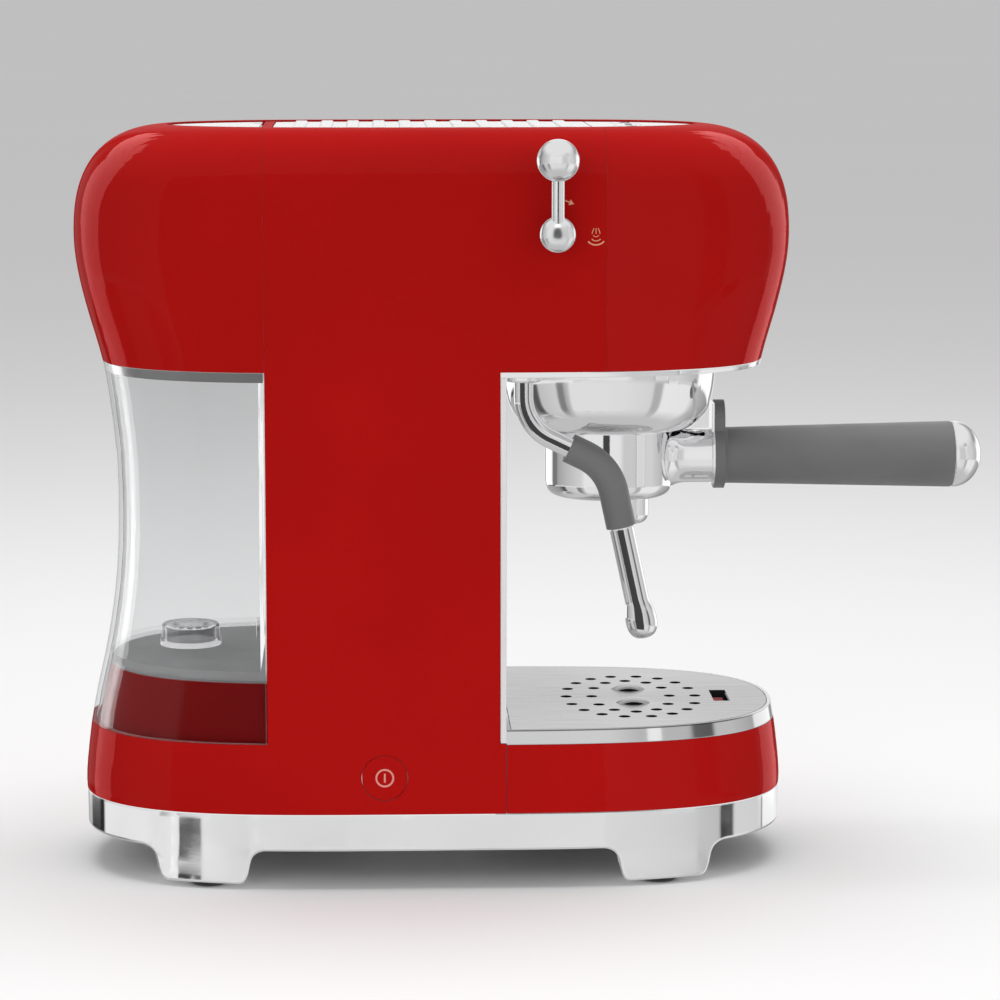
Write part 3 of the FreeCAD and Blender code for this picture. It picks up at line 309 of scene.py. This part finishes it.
for k, (az0, az1, el, radiance, who) in enumerate((
        (-48.0, -31.0, BELT, 0.88, metal), (-31.0, -14.0, BELT, 0.88, metal), (-14.0, -2.0, BELT, 0.86, still_wide), (-2.0, 14.0, BELT, 0.88, still),
        (-48.0, -43.5, LOW_BELT, 0.90, metal), (-43.5, -32.5, LOW_BELT, 0.80, group), (-32.5, -17.0, LOW_BELT, 0.80, metal), (-17.0, -1.5, LOW_BELT, 0.80, metal),
        (-1.5, 14.0, LOW_BELT, 0.80, metal), (65.0, 77.5, LOW_BELT, 0.80, group),
        (-48.0, -31.0, DEEP_BELT, 0.84, metal), (-31.0, -14.0, DEEP_BELT, 0.84, metal), (-14.0, -2.0, DEEP_BELT, 0.83, metal), (-2.0, 14.0, DEEP_BELT, 0.82, metal),
        (47.8, 63.6, BELT, 0.66, not_rim), (26.5, 32.0, BELT, 0.55, rim))):
    strip_light("panel_%d" % k, (az0, az1), el, radiance * 0.97, who, 300.0)

# a small soft box close to the lever's ball, which hides the dark field from it
box_w, box_h = 0.01767, 0.0249
ball_box = area("ball_box", P(51.95, -123.2, 325.15), P(51.95, -83.2, 325.15), (box_w, box_h), 0.844 * math.pi * box_w * box_h)
ball_box.visible_glossy = True
ball_box.visible_diffuse = False
ball_box.visible_transmission = False
ball_box.light_linking.receiver_collection = receivers("lever_receivers", ("steam_lever",))

# the lacquer, the grips, the liner, the wand and the works inside are kept out of the metal's mirror images
for name in ("main_shell", "front_hood", "rear_hood", "tray_tub", "power_button", "wand_sleeve", "handle_collar", "handle_grip", "thermoblock", "pump",
             "pump_mounts", "inner_frame", "control_board", "button_board", "power_switch", "steam_valve", "steam_pipe", "pressure_hose", "suction_hose",
             "solenoid_valve", "tank_socket", "tank_bay_panel", "fill_chute", "lever_spindle", "base_plate", "base_screws", "cable_gland", "tank_platform",
             "column_liner", "wand_tube", "wand_nozzle", "wand_socket", "level_float", "steam_lever", "water_tank", "tank_cap", "tank_filter", "tank_check_valve"):
    N[name].visible_glossy = False


# ------------------------------------------------------------------ materials


class Mat:
    """A Principled material with helpers for object-space detail."""

    def __init__(self, name, color, metallic=0.0, rough=0.4, **sockets):
        self.m = bpy.data.materials.new(name)
        self.m.use_nodes = True
        self.t = self.m.node_tree
        self.n, self.l = nodes_of(self.t)
        self.out = self.n.new("ShaderNodeOutputMaterial")
        self.b = self.n.new("ShaderNodeBsdfPrincipled")
        self.l.new(self.b.outputs[0], self.out.inputs[0])
        self.color = color
        self.b.inputs["Base Color"].default_value = (*color, 1)
        self.b.inputs["Metallic"].default_value = metallic
        self.b.inputs["Roughness"].default_value = rough
        for k, v in sockets.items():
            self.b.inputs[k.replace("_", " ")].default_value = v
        self.tc = self.n.new("ShaderNodeTexCoord")
        self.normal = None

    def noise(self, scale, detail=4.0, rough=0.55, stretch=None, distortion=0.0):
        src = self.tc.outputs["Object"]
        if stretch:
            mp = self.n.new("ShaderNodeMapping")
            mp.inputs["Scale"].default_value = stretch
            self.l.new(src, mp.inputs["Vector"])
            src = mp.outputs[0]
        t = self.n.new("ShaderNodeTexNoise")
        t.inputs["Scale"].default_value = scale
        t.inputs["Detail"].default_value = detail
        t.inputs["Roughness"].default_value = rough
        t.inputs["Distortion"].default_value = distortion
        self.l.new(src, t.inputs["Vector"])
        return t.outputs["Fac"]

    def vary_color(self, fac, lo, hi, f0=0.3, f1=0.7):
        r = ramp(self.n, [(f0, lo), (f1, hi)])
        self.l.new(fac, r.inputs[0])
        self.l.new(r.outputs[0], self.b.inputs["Base Color"])
        return r

    def vary_rough(self, fac, lo, hi, f0=0.3, f1=0.7):
        mr = self.n.new("ShaderNodeMapRange")
        mr.inputs["From Min"].default_value = f0
        mr.inputs["From Max"].default_value = f1
        mr.inputs["To Min"].default_value = lo
        mr.inputs["To Max"].default_value = hi
        self.l.new(fac, mr.inputs["Value"])
        self.l.new(mr.outputs[0], self.b.inputs["Roughness"])

    def bump(self, fac, strength, distance):
        bp = self.n.new("ShaderNodeBump")
        bp.inputs["Strength"].default_value = strength
        bp.inputs["Distance"].default_value = distance
        self.l.new(fac, bp.inputs["Height"])
        if self.normal is not None:
            self.l.new(self.normal, bp.inputs["Normal"])
        self.normal = bp.outputs[0]
        self.l.new(self.normal, self.b.inputs["Normal"])

    def soft_edges(self, radius, samples=4):
        bv = self.n.new("ShaderNodeBevel")
        bv.samples = samples
        bv.inputs["Radius"].default_value = radius
        self.normal = bv.outputs[0]
        self.l.new(self.normal, self.b.inputs["Normal"])


def shade(c, k):
    return tuple(min(1.0, x * k) for x in c)


def enamel(name, color, rough=0.30, coat=0.08):
    m = Mat(name, color, 0.0, rough, Coat_Weight=coat, Coat_Roughness=0.03, Coat_IOR=1.5, Specular_IOR_Level=0.0)
    m.vary_color(m.noise(9.0, 3.0), shade(color, 0.95), shade(color, 1.05))
    m.vary_rough(m.noise(55.0, 5.0), rough - 0.04, rough + 0.05)
    m.soft_edges(0.0005)
    m.bump(m.noise(700.0, 2.0, 0.4), 0.05, 0.0002)
    return m.m


RED = (0.350, 0.0060, 0.0052)
red = enamel("red_enamel", RED)


def mask_mix(m, mask, color):
    """Blend the material's colour towards another one where the mask is 1."""
    link = m.b.inputs["Base Color"].links[0]
    src = link.from_socket
    mix = m.n.new("ShaderNodeMix")
    mix.data_type = "RGBA"
    m.l.new(mask, mix.inputs[0])
    m.l.new(src, mix.inputs[6])
    other = ramp(m.n, [(0.3, shade(color, 0.9)), (0.7, shade(color, 1.1))])
    m.l.new(m.noise(20.0, 3.0), other.inputs[0])
    m.l.new(other.outputs[0], mix.inputs[7])
    m.l.new(mix.outputs[2], m.b.inputs["Base Color"])


def above(m, z0, z1):
    """0 below z0 and 1 above z1, in metres of the object's own height."""
    sep = m.n.new("ShaderNodeSeparateXYZ")
    m.l.new(m.tc.outputs["Object"], sep.inputs[0])
    mr = m.n.new("ShaderNodeMapRange")
    mr.inputs["From Min"].default_value = z0
    mr.inputs["From Max"].default_value = z1
    m.l.new(sep.outputs["Z"], mr.inputs["Value"])
    return mr.outputs[0]


def red_platform():
    """Dark red stand of the tank with a grey top."""
    c = (0.215, 0.003, 0.0035)
    m = Mat("red_platform", c, 0.0, 0.32, Specular_IOR_Level=0.1)
    m.vary_color(m.noise(9.0, 3.0), shade(c, 0.94), shade(c, 1.06))
    m.vary_rough(m.noise(55.0, 5.0), 0.28, 0.38)
    m.soft_edges(0.0005)
    m.bump(m.noise(700.0, 2.0, 0.4), 0.05, 0.0002)
    mask_mix(m, above(m, 0.0915, 0.0918), (0.26, 0.26, 0.263))
    return m.m


red_dark = red_platform()


def red_tub():
    """Red outside, dark grey on every face that looks to the inside."""
    m = Mat("red_tub", RED, 0.0, 0.30, Coat_Weight=0.08, Coat_Roughness=0.03, Coat_IOR=1.5, Specular_IOR_Level=0.0)
    m.vary_color(m.noise(9.0, 3.0), shade(RED, 0.95), shade(RED, 1.05))
    m.vary_rough(m.noise(55.0, 5.0), 0.26, 0.35)
    # plan outline half way through the wall: inside it the value is under 1
    sep = m.n.new("ShaderNodeSeparateXYZ")
    m.l.new(m.tc.outputs["Object"], sep.inputs[0])

    def power_of(sock, shift, half, exponent):
        add = math_node(m.n, "ADD", b=shift)
        m.l.new(sock, add.inputs[0])
        ab = math_node(m.n, "ABSOLUTE")
        m.l.new(add.outputs[0], ab.inputs[0])
        div = math_node(m.n, "MULTIPLY", b=1.0 / half)
        m.l.new(ab.outputs[0], div.inputs[0])
        pw = math_node(m.n, "POWER", b=exponent)
        m.l.new(div.outputs[0], pw.inputs[0])
        return pw.outputs[0]

    total = math_node(m.n, "ADD")
    m.l.new(power_of(sep.outputs["X"], -X_FRAME / 1000, 0.1556, 4.0), total.inputs[0])
    m.l.new(power_of(sep.outputs["Y"], -Y_FRAME / 1000, 0.0733, 2.3), total.inputs[1])
    inside = m.n.new("ShaderNodeMapRange")
    inside.inputs["From Min"].default_value = 1.0
    inside.inputs["From Max"].default_value = 0.985
    m.l.new(total.outputs[0], inside.inputs["Value"])
    up = above(m, 0.0350, 0.0355)
    both = math_node(m.n, "MULTIPLY")
    m.l.new(inside.outputs[0], both.inputs[0])
    m.l.new(up, both.inputs[1])
    mask_mix(m, both.outputs[0], (0.035, 0.035, 0.036))
    m.soft_edges(0.0005)
    m.bump(m.noise(700.0, 2.0, 0.4), 0.05, 0.0002)
    return m.m


tub_red = red_tub()


def chrome_mat(name, tone=0.83, rough=0.045, spread=0.03):
    m = Mat(name, (tone, tone, tone * 1.01), 1.0, rough)
    m.vary_color(m.noise(14.0, 3.0), (tone * 0.97, tone * 0.97, tone * 0.98), (tone * 1.02, tone * 1.02, tone * 1.03))
    m.vary_rough(m.noise(42.0, 6.0, 0.6), rough - spread * 0.5, rough + spread)
    m.soft_edges(0.0006)
    m.bump(m.noise(900.0, 2.0), 0.012, 0.0001)
    return m.m


chrome = chrome_mat("chrome")
rim_chrome = chrome_mat("chrome_rim", 0.66, 0.06)
lever_chrome = chrome_mat("chrome_lever")


def lever_finish(mat):
    """Softer polish on the hub and the ball than on the rod between them."""
    n, l = mat.node_tree.nodes, mat.node_tree.links
    b = [x for x in n if x.type == "BSDF_PRINCIPLED"][0]
    tc = n.new("ShaderNodeTexCoord")
    pos = n.new("ShaderNodeSeparateXYZ")
    l.new(tc.outputs["Object"], pos.inputs[0])
    up = n.new("ShaderNodeMapRange")
    up.inputs["From Min"].default_value = 0.27
    up.inputs["From Max"].default_value = 0.34
    l.new(pos.outputs["Z"], up.inputs["Value"])
    zones = ramp(n, [(0.0, 0.17), (0.374, 0.17), (0.393, 0.0), (0.579, 0.0), (0.597, 0.10), (1.0, 0.10)])
    l.new(up.outputs[0], zones.inputs[0])
    total = math_node(n, "ADD")
    l.new(b.inputs["Roughness"].links[0].from_socket, total.inputs[0])
    l.new(zones.outputs[0], total.inputs[1])
    l.new(total.outputs[0], b.inputs["Roughness"])


lever_finish(lever_chrome)


def painted_rim_shade(mat):
    """Painted shade: a dark line where the plate meets the tray's rim on the lever's side, standing for the shade in
    the join.
    """
    n, l = mat.node_tree.nodes, mat.node_tree.links
    b = [x for x in n if x.type == "BSDF_PRINCIPLED"][0]
    tc = n.new("ShaderNodeTexCoord")
    pos = n.new("ShaderNodeSeparateXYZ")
    l.new(tc.outputs["Object"], pos.inputs[0])
    up = n.new("ShaderNodeMapRange")
    up.inputs["From Min"].default_value = 0.0705
    up.inputs["From Max"].default_value = 0.0707
    l.new(pos.outputs["Z"], up.inputs["Value"])
    side = n.new("ShaderNodeMapRange")
    side.inputs["From Min"].default_value = -0.030
    side.inputs["From Max"].default_value = -0.045
    l.new(pos.outputs["Y"], side.inputs["Value"])
    both = math_node(n, "MULTIPLY")
    l.new(up.outputs[0], both.inputs[0])
    l.new(side.outputs[0], both.inputs[1])
    mix = n.new("ShaderNodeMix")
    mix.data_type = "RGBA"
    src = b.inputs["Base Color"].links[0].from_socket
    l.new(both.outputs[0], mix.inputs[0])
    l.new(src, mix.inputs[6])
    # dark grey painted shade along the join of rim and plate
    mix.inputs[7].default_value = (0.16, 0.16, 0.16, 1)
    l.new(mix.outputs[2], b.inputs["Base Color"])


# painted shade line on the rim where the grate sits in it
painted_rim_shade(rim_chrome)


def brushed(name, tone, rough, stretch, metallic=1.0, grain_bump=0.06, spread=0.055):
    m = Mat(name, (tone, tone, tone), metallic, rough, Anisotropic=0.5)
    grain = m.noise(900.0, 3.0, 0.6, stretch=stretch)
    m.vary_color(m.noise(25.0, 4.0, 0.6, stretch=stretch), (tone * (1 - spread),) * 3, (min(1.0, tone * (1 + spread)),) * 3)
    m.vary_rough(grain, rough - 0.06, rough + 0.1)
    m.soft_edges(0.0004)
    m.bump(grain, grain_bump, 0.0002)
    return m.m


deck_steel = brushed("steel_deck", 0.80, 0.30, (1.0, 0.03, 1.0), 0.7, 0.012, 0.02)
grate_steel = brushed("steel_grate", 0.52, 0.27, (0.03, 1.0, 1.0), 1.0, 0.008, 0.014)


def painted_wall_shade(mat, height):
    """Painted shade: darken the upright faces of a thin plate, the walls of its holes and its rim, below the given
    height.
    """
    n, l = mat.node_tree.nodes, mat.node_tree.links
    b = [x for x in n if x.type == "BSDF_PRINCIPLED"][0]
    geo = n.new("ShaderNodeNewGeometry")
    sep = n.new("ShaderNodeSeparateXYZ")
    l.new(geo.outputs["True Normal"], sep.inputs[0])
    ab = math_node(n, "ABSOLUTE")
    l.new(sep.outputs["Z"], ab.inputs[0])
    steep = n.new("ShaderNodeMapRange")
    steep.inputs["From Min"].default_value = 0.40
    steep.inputs["From Max"].default_value = 0.25
    l.new(ab.outputs[0], steep.inputs["Value"])
    tc = n.new("ShaderNodeTexCoord")
    pos = n.new("ShaderNodeSeparateXYZ")
    l.new(tc.outputs["Object"], pos.inputs[0])
    under = n.new("ShaderNodeMapRange")
    under.inputs["From Min"].default_value = height
    under.inputs["From Max"].default_value = height - 0.0001
    l.new(pos.outputs["Z"], under.inputs["Value"])
    both = math_node(n, "MULTIPLY")
    l.new(steep.outputs[0], both.inputs[0])
    l.new(under.outputs[0], both.inputs[1])
    mix = n.new("ShaderNodeMix")
    mix.data_type = "RGBA"
    src = b.inputs["Base Color"].links[0].from_socket
    l.new(both.outputs[0], mix.inputs[0])
    l.new(src, mix.inputs[6])
    # near-black painted shade on the upright faces
    mix.inputs[7].default_value = (0.012, 0.012, 0.012, 1)
    l.new(mix.outputs[2], b.inputs["Base Color"])


# painted shade in the grate's holes and along its edge
painted_wall_shade(grate_steel, 0.07111)
liner_steel = brushed("steel_liner", 0.86, 0.26, (1.0, 1.0, 0.05), 1.0, 0.03, 0.03)
steel_plain = brushed("steel_satin", 0.66, 0.32, (1.0, 1.0, 0.05))


def moulded(name, color, rough, grain=1400.0, depth=0.12, **kw):
    m = Mat(name, color, 0.0, rough, **kw)
    m.vary_color(m.noise(18.0, 3.0), shade(color, 0.90), shade(color, 1.10))
    m.vary_rough(m.noise(60.0, 4.0), rough - 0.05, rough + 0.07)
    m.soft_edges(0.0005)
    m.bump(m.noise(grain, 3.0, 0.6), depth, 0.0002)
    return m.m


grip_grey = moulded("satin_grey", (0.136, 0.136, 0.138), 0.40, 2600.0, 0.06)
sleeve_grey = moulded("sleeve_grey", (0.140, 0.140, 0.142), 0.36, 2200.0, 0.06)
rim_grey = moulded("tank_rim_grey", (0.155, 0.155, 0.157), 0.38, Coat_Weight=0.25, Coat_Roughness=0.05)
floor_grey = moulded("inner_grey", (0.24, 0.24, 0.245), 0.42)
dark_grey = moulded("dark_grey", (0.045, 0.045, 0.047), 0.45)
black_rubber = moulded("black_rubber", (0.018, 0.018, 0.018), 0.62, 900.0, 0.2)
black_plastic = moulded("black_plastic", (0.022, 0.022, 0.023), 0.45)
button_white = moulded("button_white", (0.62, 0.62, 0.63), 0.28, 2400.0, 0.04, Coat_Weight=0.4)
board_green = moulded("board_green", (0.02, 0.12, 0.05), 0.4)
hose_mat = moulded("hose", (0.55, 0.53, 0.49), 0.35)
red_float = moulded("red_float", (0.45, 0.010, 0.012), 0.3)
print_pink = moulded("print_pink", (0.80, 0.30, 0.26), 0.45, 3000.0, 0.02)
print_orange = moulded("print_orange", (0.78, 0.33, 0.19), 0.45, 3000.0, 0.02)
print_grey = moulded("print_grey", (0.16, 0.16, 0.17), 0.5, 3000.0, 0.02)


def clear_plastic():
    m = Mat("clear_plastic", (0.92, 0.925, 0.93), 0.0, 0.01, Transmission_Weight=1.0, IOR=1.004, Coat_Weight=0.13, Coat_IOR=1.5, Coat_Roughness=0.03)
    tint = m.vary_color(m.noise(8.0, 2.0), (0.873, 0.877, 0.881), (0.900, 0.904, 0.908))
    edge = m.n.new("ShaderNodeLayerWeight")
    edge.inputs["Blend"].default_value = 0.5
    thick = ramp(m.n, [(0.55, (1.0, 1.0, 1.0)), (0.86, (0.80, 0.80, 0.80)), (0.97, (0.50, 0.50, 0.50))])
    m.l.new(edge.outputs["Facing"], thick.inputs[0])
    mix = m.n.new("ShaderNodeMix")
    mix.data_type = "RGBA"
    mix.blend_type = "MULTIPLY"
    mix.inputs[0].default_value = 1.0
    m.l.new(tint.outputs[0], mix.inputs[6])
    m.l.new(thick.outputs[0], mix.inputs[7])
    m.l.new(mix.outputs[2], m.b.inputs["Base Color"])
    m.vary_rough(m.noise(40.0, 3.0), 0.0, 0.01)
    return m.m


clear = clear_plastic()


def smoked_plastic():
    m = Mat("smoked_plastic", (0.62, 0.62, 0.63), 0.0, 0.1, Transmission_Weight=0.86, IOR=1.03, Coat_Weight=0.5, Coat_Roughness=0.04)
    m.vary_color(m.noise(30.0, 3.0), (0.66, 0.66, 0.67), (0.76, 0.76, 0.77))
    m.vary_rough(m.noise(90.0, 4.0), 0.04, 0.12)
    m.soft_edges(0.0005)
    return m.m


smoked = smoked_plastic()
brass = brushed("brass", 0.5, 0.3, (1, 1, 1))
bt = [n for n in brass.node_tree.nodes if n.type == "VALTORGB"][0]
bt.color_ramp.elements[0].color = (0.42, 0.27, 0.08, 1)
bt.color_ramp.elements[1].color = (0.52, 0.35, 0.12, 1)
alu = brushed("cast_aluminium", 0.55, 0.4, (1, 1, 1))


def make_floor():
    m = Mat("floor_pale", (0.84, 0.84, 0.84), 0.0, 0.55, Specular_IOR_Level=0.0)
    m.vary_color(m.noise(0.8, 3.0), (0.835, 0.835, 0.835), (0.845, 0.845, 0.845))
    me = bpy.data.meshes.new("floor")
    s = 150.0
    me.from_pydata([(-s, -s, 0), (s, -s, 0), (s, s, 0), (-s, s, 0)], [], [(0, 1, 2, 3)])
    o = bpy.data.objects.new("floor", me)
    me.materials.append(m.m)
    SC.collection.objects.link(o)
    o.location.z = -0.0002
    o.visible_glossy = False


make_floor()

FINISH = {
    "base_skirt": chrome, "rubber_feet": black_rubber, "base_plate": black_plastic, "base_screws": steel_plain, "cable_gland": black_rubber,
    "main_shell": red, "front_hood": red, "rear_hood": red, "fill_chute": floor_grey, "column_liner": liner_steel, "head_underplate": chrome,
    "cup_warmer": deck_steel, "control_panel": deck_steel, "tank_bay_panel": rim_grey, "tank_platform": red_dark, "tank_socket": dark_grey,
    "flap_hinge_pin": steel_plain, "group_bowl": chrome, "group_head": alu, "group_gasket": black_rubber, "shower_screen": steel_plain,
    "shower_screw": steel_plain, "steam_valve": brass, "wand_socket": chrome, "power_switch": black_plastic, "button_board": board_green,
    "inner_frame": steel_plain, "thermoblock": alu, "pump": dark_grey, "pump_mounts": black_rubber, "suction_hose": hose_mat,
    "pressure_hose": hose_mat, "steam_pipe": steel_plain, "solenoid_valve": brass, "control_board": board_green,
    "water_tank": clear, "tank_cap": rim_grey, "tank_filter": smoked, "tank_check_valve": clear, "tank_flap": deck_steel,
    "tray_tub": tub_red, "tray_rim": rim_chrome, "drip_grate": grate_steel, "level_float": red_float,
    "portafilter_body": chrome, "portafilter_spout": chrome, "filter_basket": steel_plain, "handle_collar": grip_grey, "handle_grip": grip_grey,
    "handle_cap": chrome, "handle_rod": steel_plain, "steam_lever": lever_chrome, "lever_spindle": steel_plain, "wand_tube": chrome,
    "wand_sleeve": sleeve_grey, "wand_nozzle": chrome, "button_one_cup": button_white, "button_two_cups": button_white,
    "button_steam": button_white, "power_button": red,
}
for name, ob in N.items():
    ob.data.materials.clear()
    ob.data.materials.append(FINISH[name])

# ------------------------------------------------------------------ small parts built here


def mesh_object(name, bm, mat, body, smooth=True):
    me = bpy.data.meshes.new(name)
    bm.normal_update()
    bm.to_mesh(me)
    bm.free()
    for p in me.polygons:
        p.use_smooth = smooth
    me.materials.append(mat)
    o = bpy.data.objects.new(name, me)
    SC.collection.objects.link(o)
    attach(o, body)
    return o


def ribbon(bm, pts, width, place, thick, closed=False):
    """Flat raised line along 2-D points; place maps (u, v, h) to a point, h being the height above the surface."""
    n = len(pts)
    rows = []
    for i, p in enumerate(pts):
        a = pts[(i - 1) % n] if closed or i > 0 else p
        b = pts[(i + 1) % n] if closed or i < n - 1 else p
        d = Vector((b[0] - a[0], b[1] - a[1]))
        d.normalize()
        s = Vector((-d.y, d.x)) * (width / 2)
        rows.append([bm.verts.new(place(p[0] + s.x, p[1] + s.y, 0.0)), bm.verts.new(place(p[0] + s.x, p[1] + s.y, thick)),
                     bm.verts.new(place(p[0] - s.x, p[1] - s.y, thick)), bm.verts.new(place(p[0] - s.x, p[1] - s.y, 0.0))])
    m = n if closed else n - 1
    for i in range(m):
        r0, r1 = rows[i], rows[(i + 1) % n]
        for k in range(4):
            bm.faces.new((r0[k], r1[k], r1[(k + 1) % 4], r0[(k + 1) % 4]))
    if not closed:
        bm.faces.new(rows[0])
        bm.faces.new(list(reversed(rows[-1])))


def arc2(cx, cy, r, a0, a1, n):
    return [(cx + r * math.cos(math.radians(a0 + (a1 - a0) * i / n)), cy + r * math.sin(math.radians(a0 + (a1 - a0) * i / n))) for i in range(n + 1)]


# power symbol on the base's round button: u to the right, v up, seen from the lever's side
def on_power(u, v, h):
    return P(-22.8 + u, -74.3 - h, 50.2 + v)


def symbol(name, place, lines, mat, body):
    """Raised print made of flat lines: (points, width, closed) each."""
    bm = bmesh.new()
    for pts, width, closed in lines:
        ribbon(bm, pts, width, place, 0.10, closed)
    bmesh.ops.recalc_face_normals(bm, faces=bm.faces)
    o = mesh_object(name, bm, mat, body, smooth=False)
    return o


symbol("power_symbol", on_power, [(arc2(0, 0, 3.7, 0, 352.5, 47), 0.85, True), ([(0, -2.0), (0, -1.0), (0, 1.0), (0, 2.0)], 0.85, False)],
       print_pink, "power_button")

# prints beside the lever lie on the shell's curved side
shell_mesh = N["main_shell"].data
SHELL = BVHTree.FromPolygons([v.co.copy() for v in shell_mesh.vertices], [tuple(f.vertices) for f in shell_mesh.polygons])


def on_side(x0, z0):
    def place(u, v, h):
        start = P(x0 + u, -120.0, z0 + v)
        loc = SHELL.ray_cast(start, Vector((0, 1, 0)))[0]
        return loc - Vector((0, h / 1000, 0)) + Vector((0, 0.00003, 0))
    return place


def dense(pts, n=6):
    out = []
    for a, b in zip(pts, pts[1:]):
        out += [(a[0] + (b[0] - a[0]) * i / n, a[1] + (b[1] - a[1]) * i / n) for i in range(n)]
    return out + [pts[-1]]


a0, a1 = (55.7, 302.7), (59.5, 301.2)
dx, dz = a1[0] - a0[0], a1[1] - a0[1]
ln = math.hypot(dx, dz)
dx, dz = dx / ln, dz / ln
arrow = [([(0, 0), (dx * 1.2, dz * 1.2), (dx * 2.4, dz * 2.4)], 0.55, False)]
for k in range(5):
    t = 2.2 + 0.42 * k
    arrow.append(([(dx * t - dz * (1.25 - 0.28 * k), dz * t + dx * (1.25 - 0.28 * k)), (dx * t, dz * t), (dx * t + dz * (1.25 - 0.28 * k), dz * t - dx * (1.25 - 0.28 * k))], 0.46, False))
symbol("lever_arrow", on_side(*a0), arrow, print_orange, "chassis")
cup = [(arc2(0, 4.9, 4.7, 222, 318, 16), 0.62, False), (arc2(0, 4.5, 2.6, 222, 318, 12), 0.45, False), (arc2(0, 5.2, 1.5, 215, 325, 8), 0.35, False)]
for u0, u1 in ((-0.9, -1.7), (0.0, 0.0), (0.9, 1.7)):
    cup.append((dense([(u0, 7.4), (u1 * 0.95, 5.6), (u1, 4.9)], 3), 0.36, False))
symbol("steam_mark", on_side(69.1, 283.4), cup, print_orange, "chassis")


# pictograms on the three top buttons, read from the front
def on_button(x0, y0):
    return lambda u, v, h: P(x0 - v, y0 + u, 332.4 + h)


def cup_lines(cx, k):
    body = [(cx - 1.7 * k, 1.3 * k), (cx - 1.4 * k, -1.0 * k), (cx - 0.9 * k, -1.5 * k), (cx + 0.9 * k, -1.5 * k), (cx + 1.4 * k, -1.0 * k), (cx + 1.7 * k, 1.3 * k)]
    handle = [(cx + 1.65 * k + x * k, y * k) for x, y in arc2(0.0, 0.1, 0.85, 80, -80, 10)]
    return [(body, 0.5, True), (handle, 0.42, False)]


symbol("mark_one_cup", on_button(88.0, -21.0), cup_lines(-0.3, 1.35), print_grey, "button_one_cup")
symbol("mark_two_cups", on_button(88.0, 0.0), cup_lines(-2.3, 0.95) + cup_lines(1.8, 0.95), print_grey, "button_two_cups")
wave = [[(u + 0.5 * math.sin(1.9 * t), t) for t in [-2.2 + 0.4 * i for i in range(12)]] for u in (-1.9, 0.0, 1.9)]
symbol("mark_steam", on_button(88.0, 21.0), [(w, 0.5, False) for w in wave], print_grey, "button_steam")
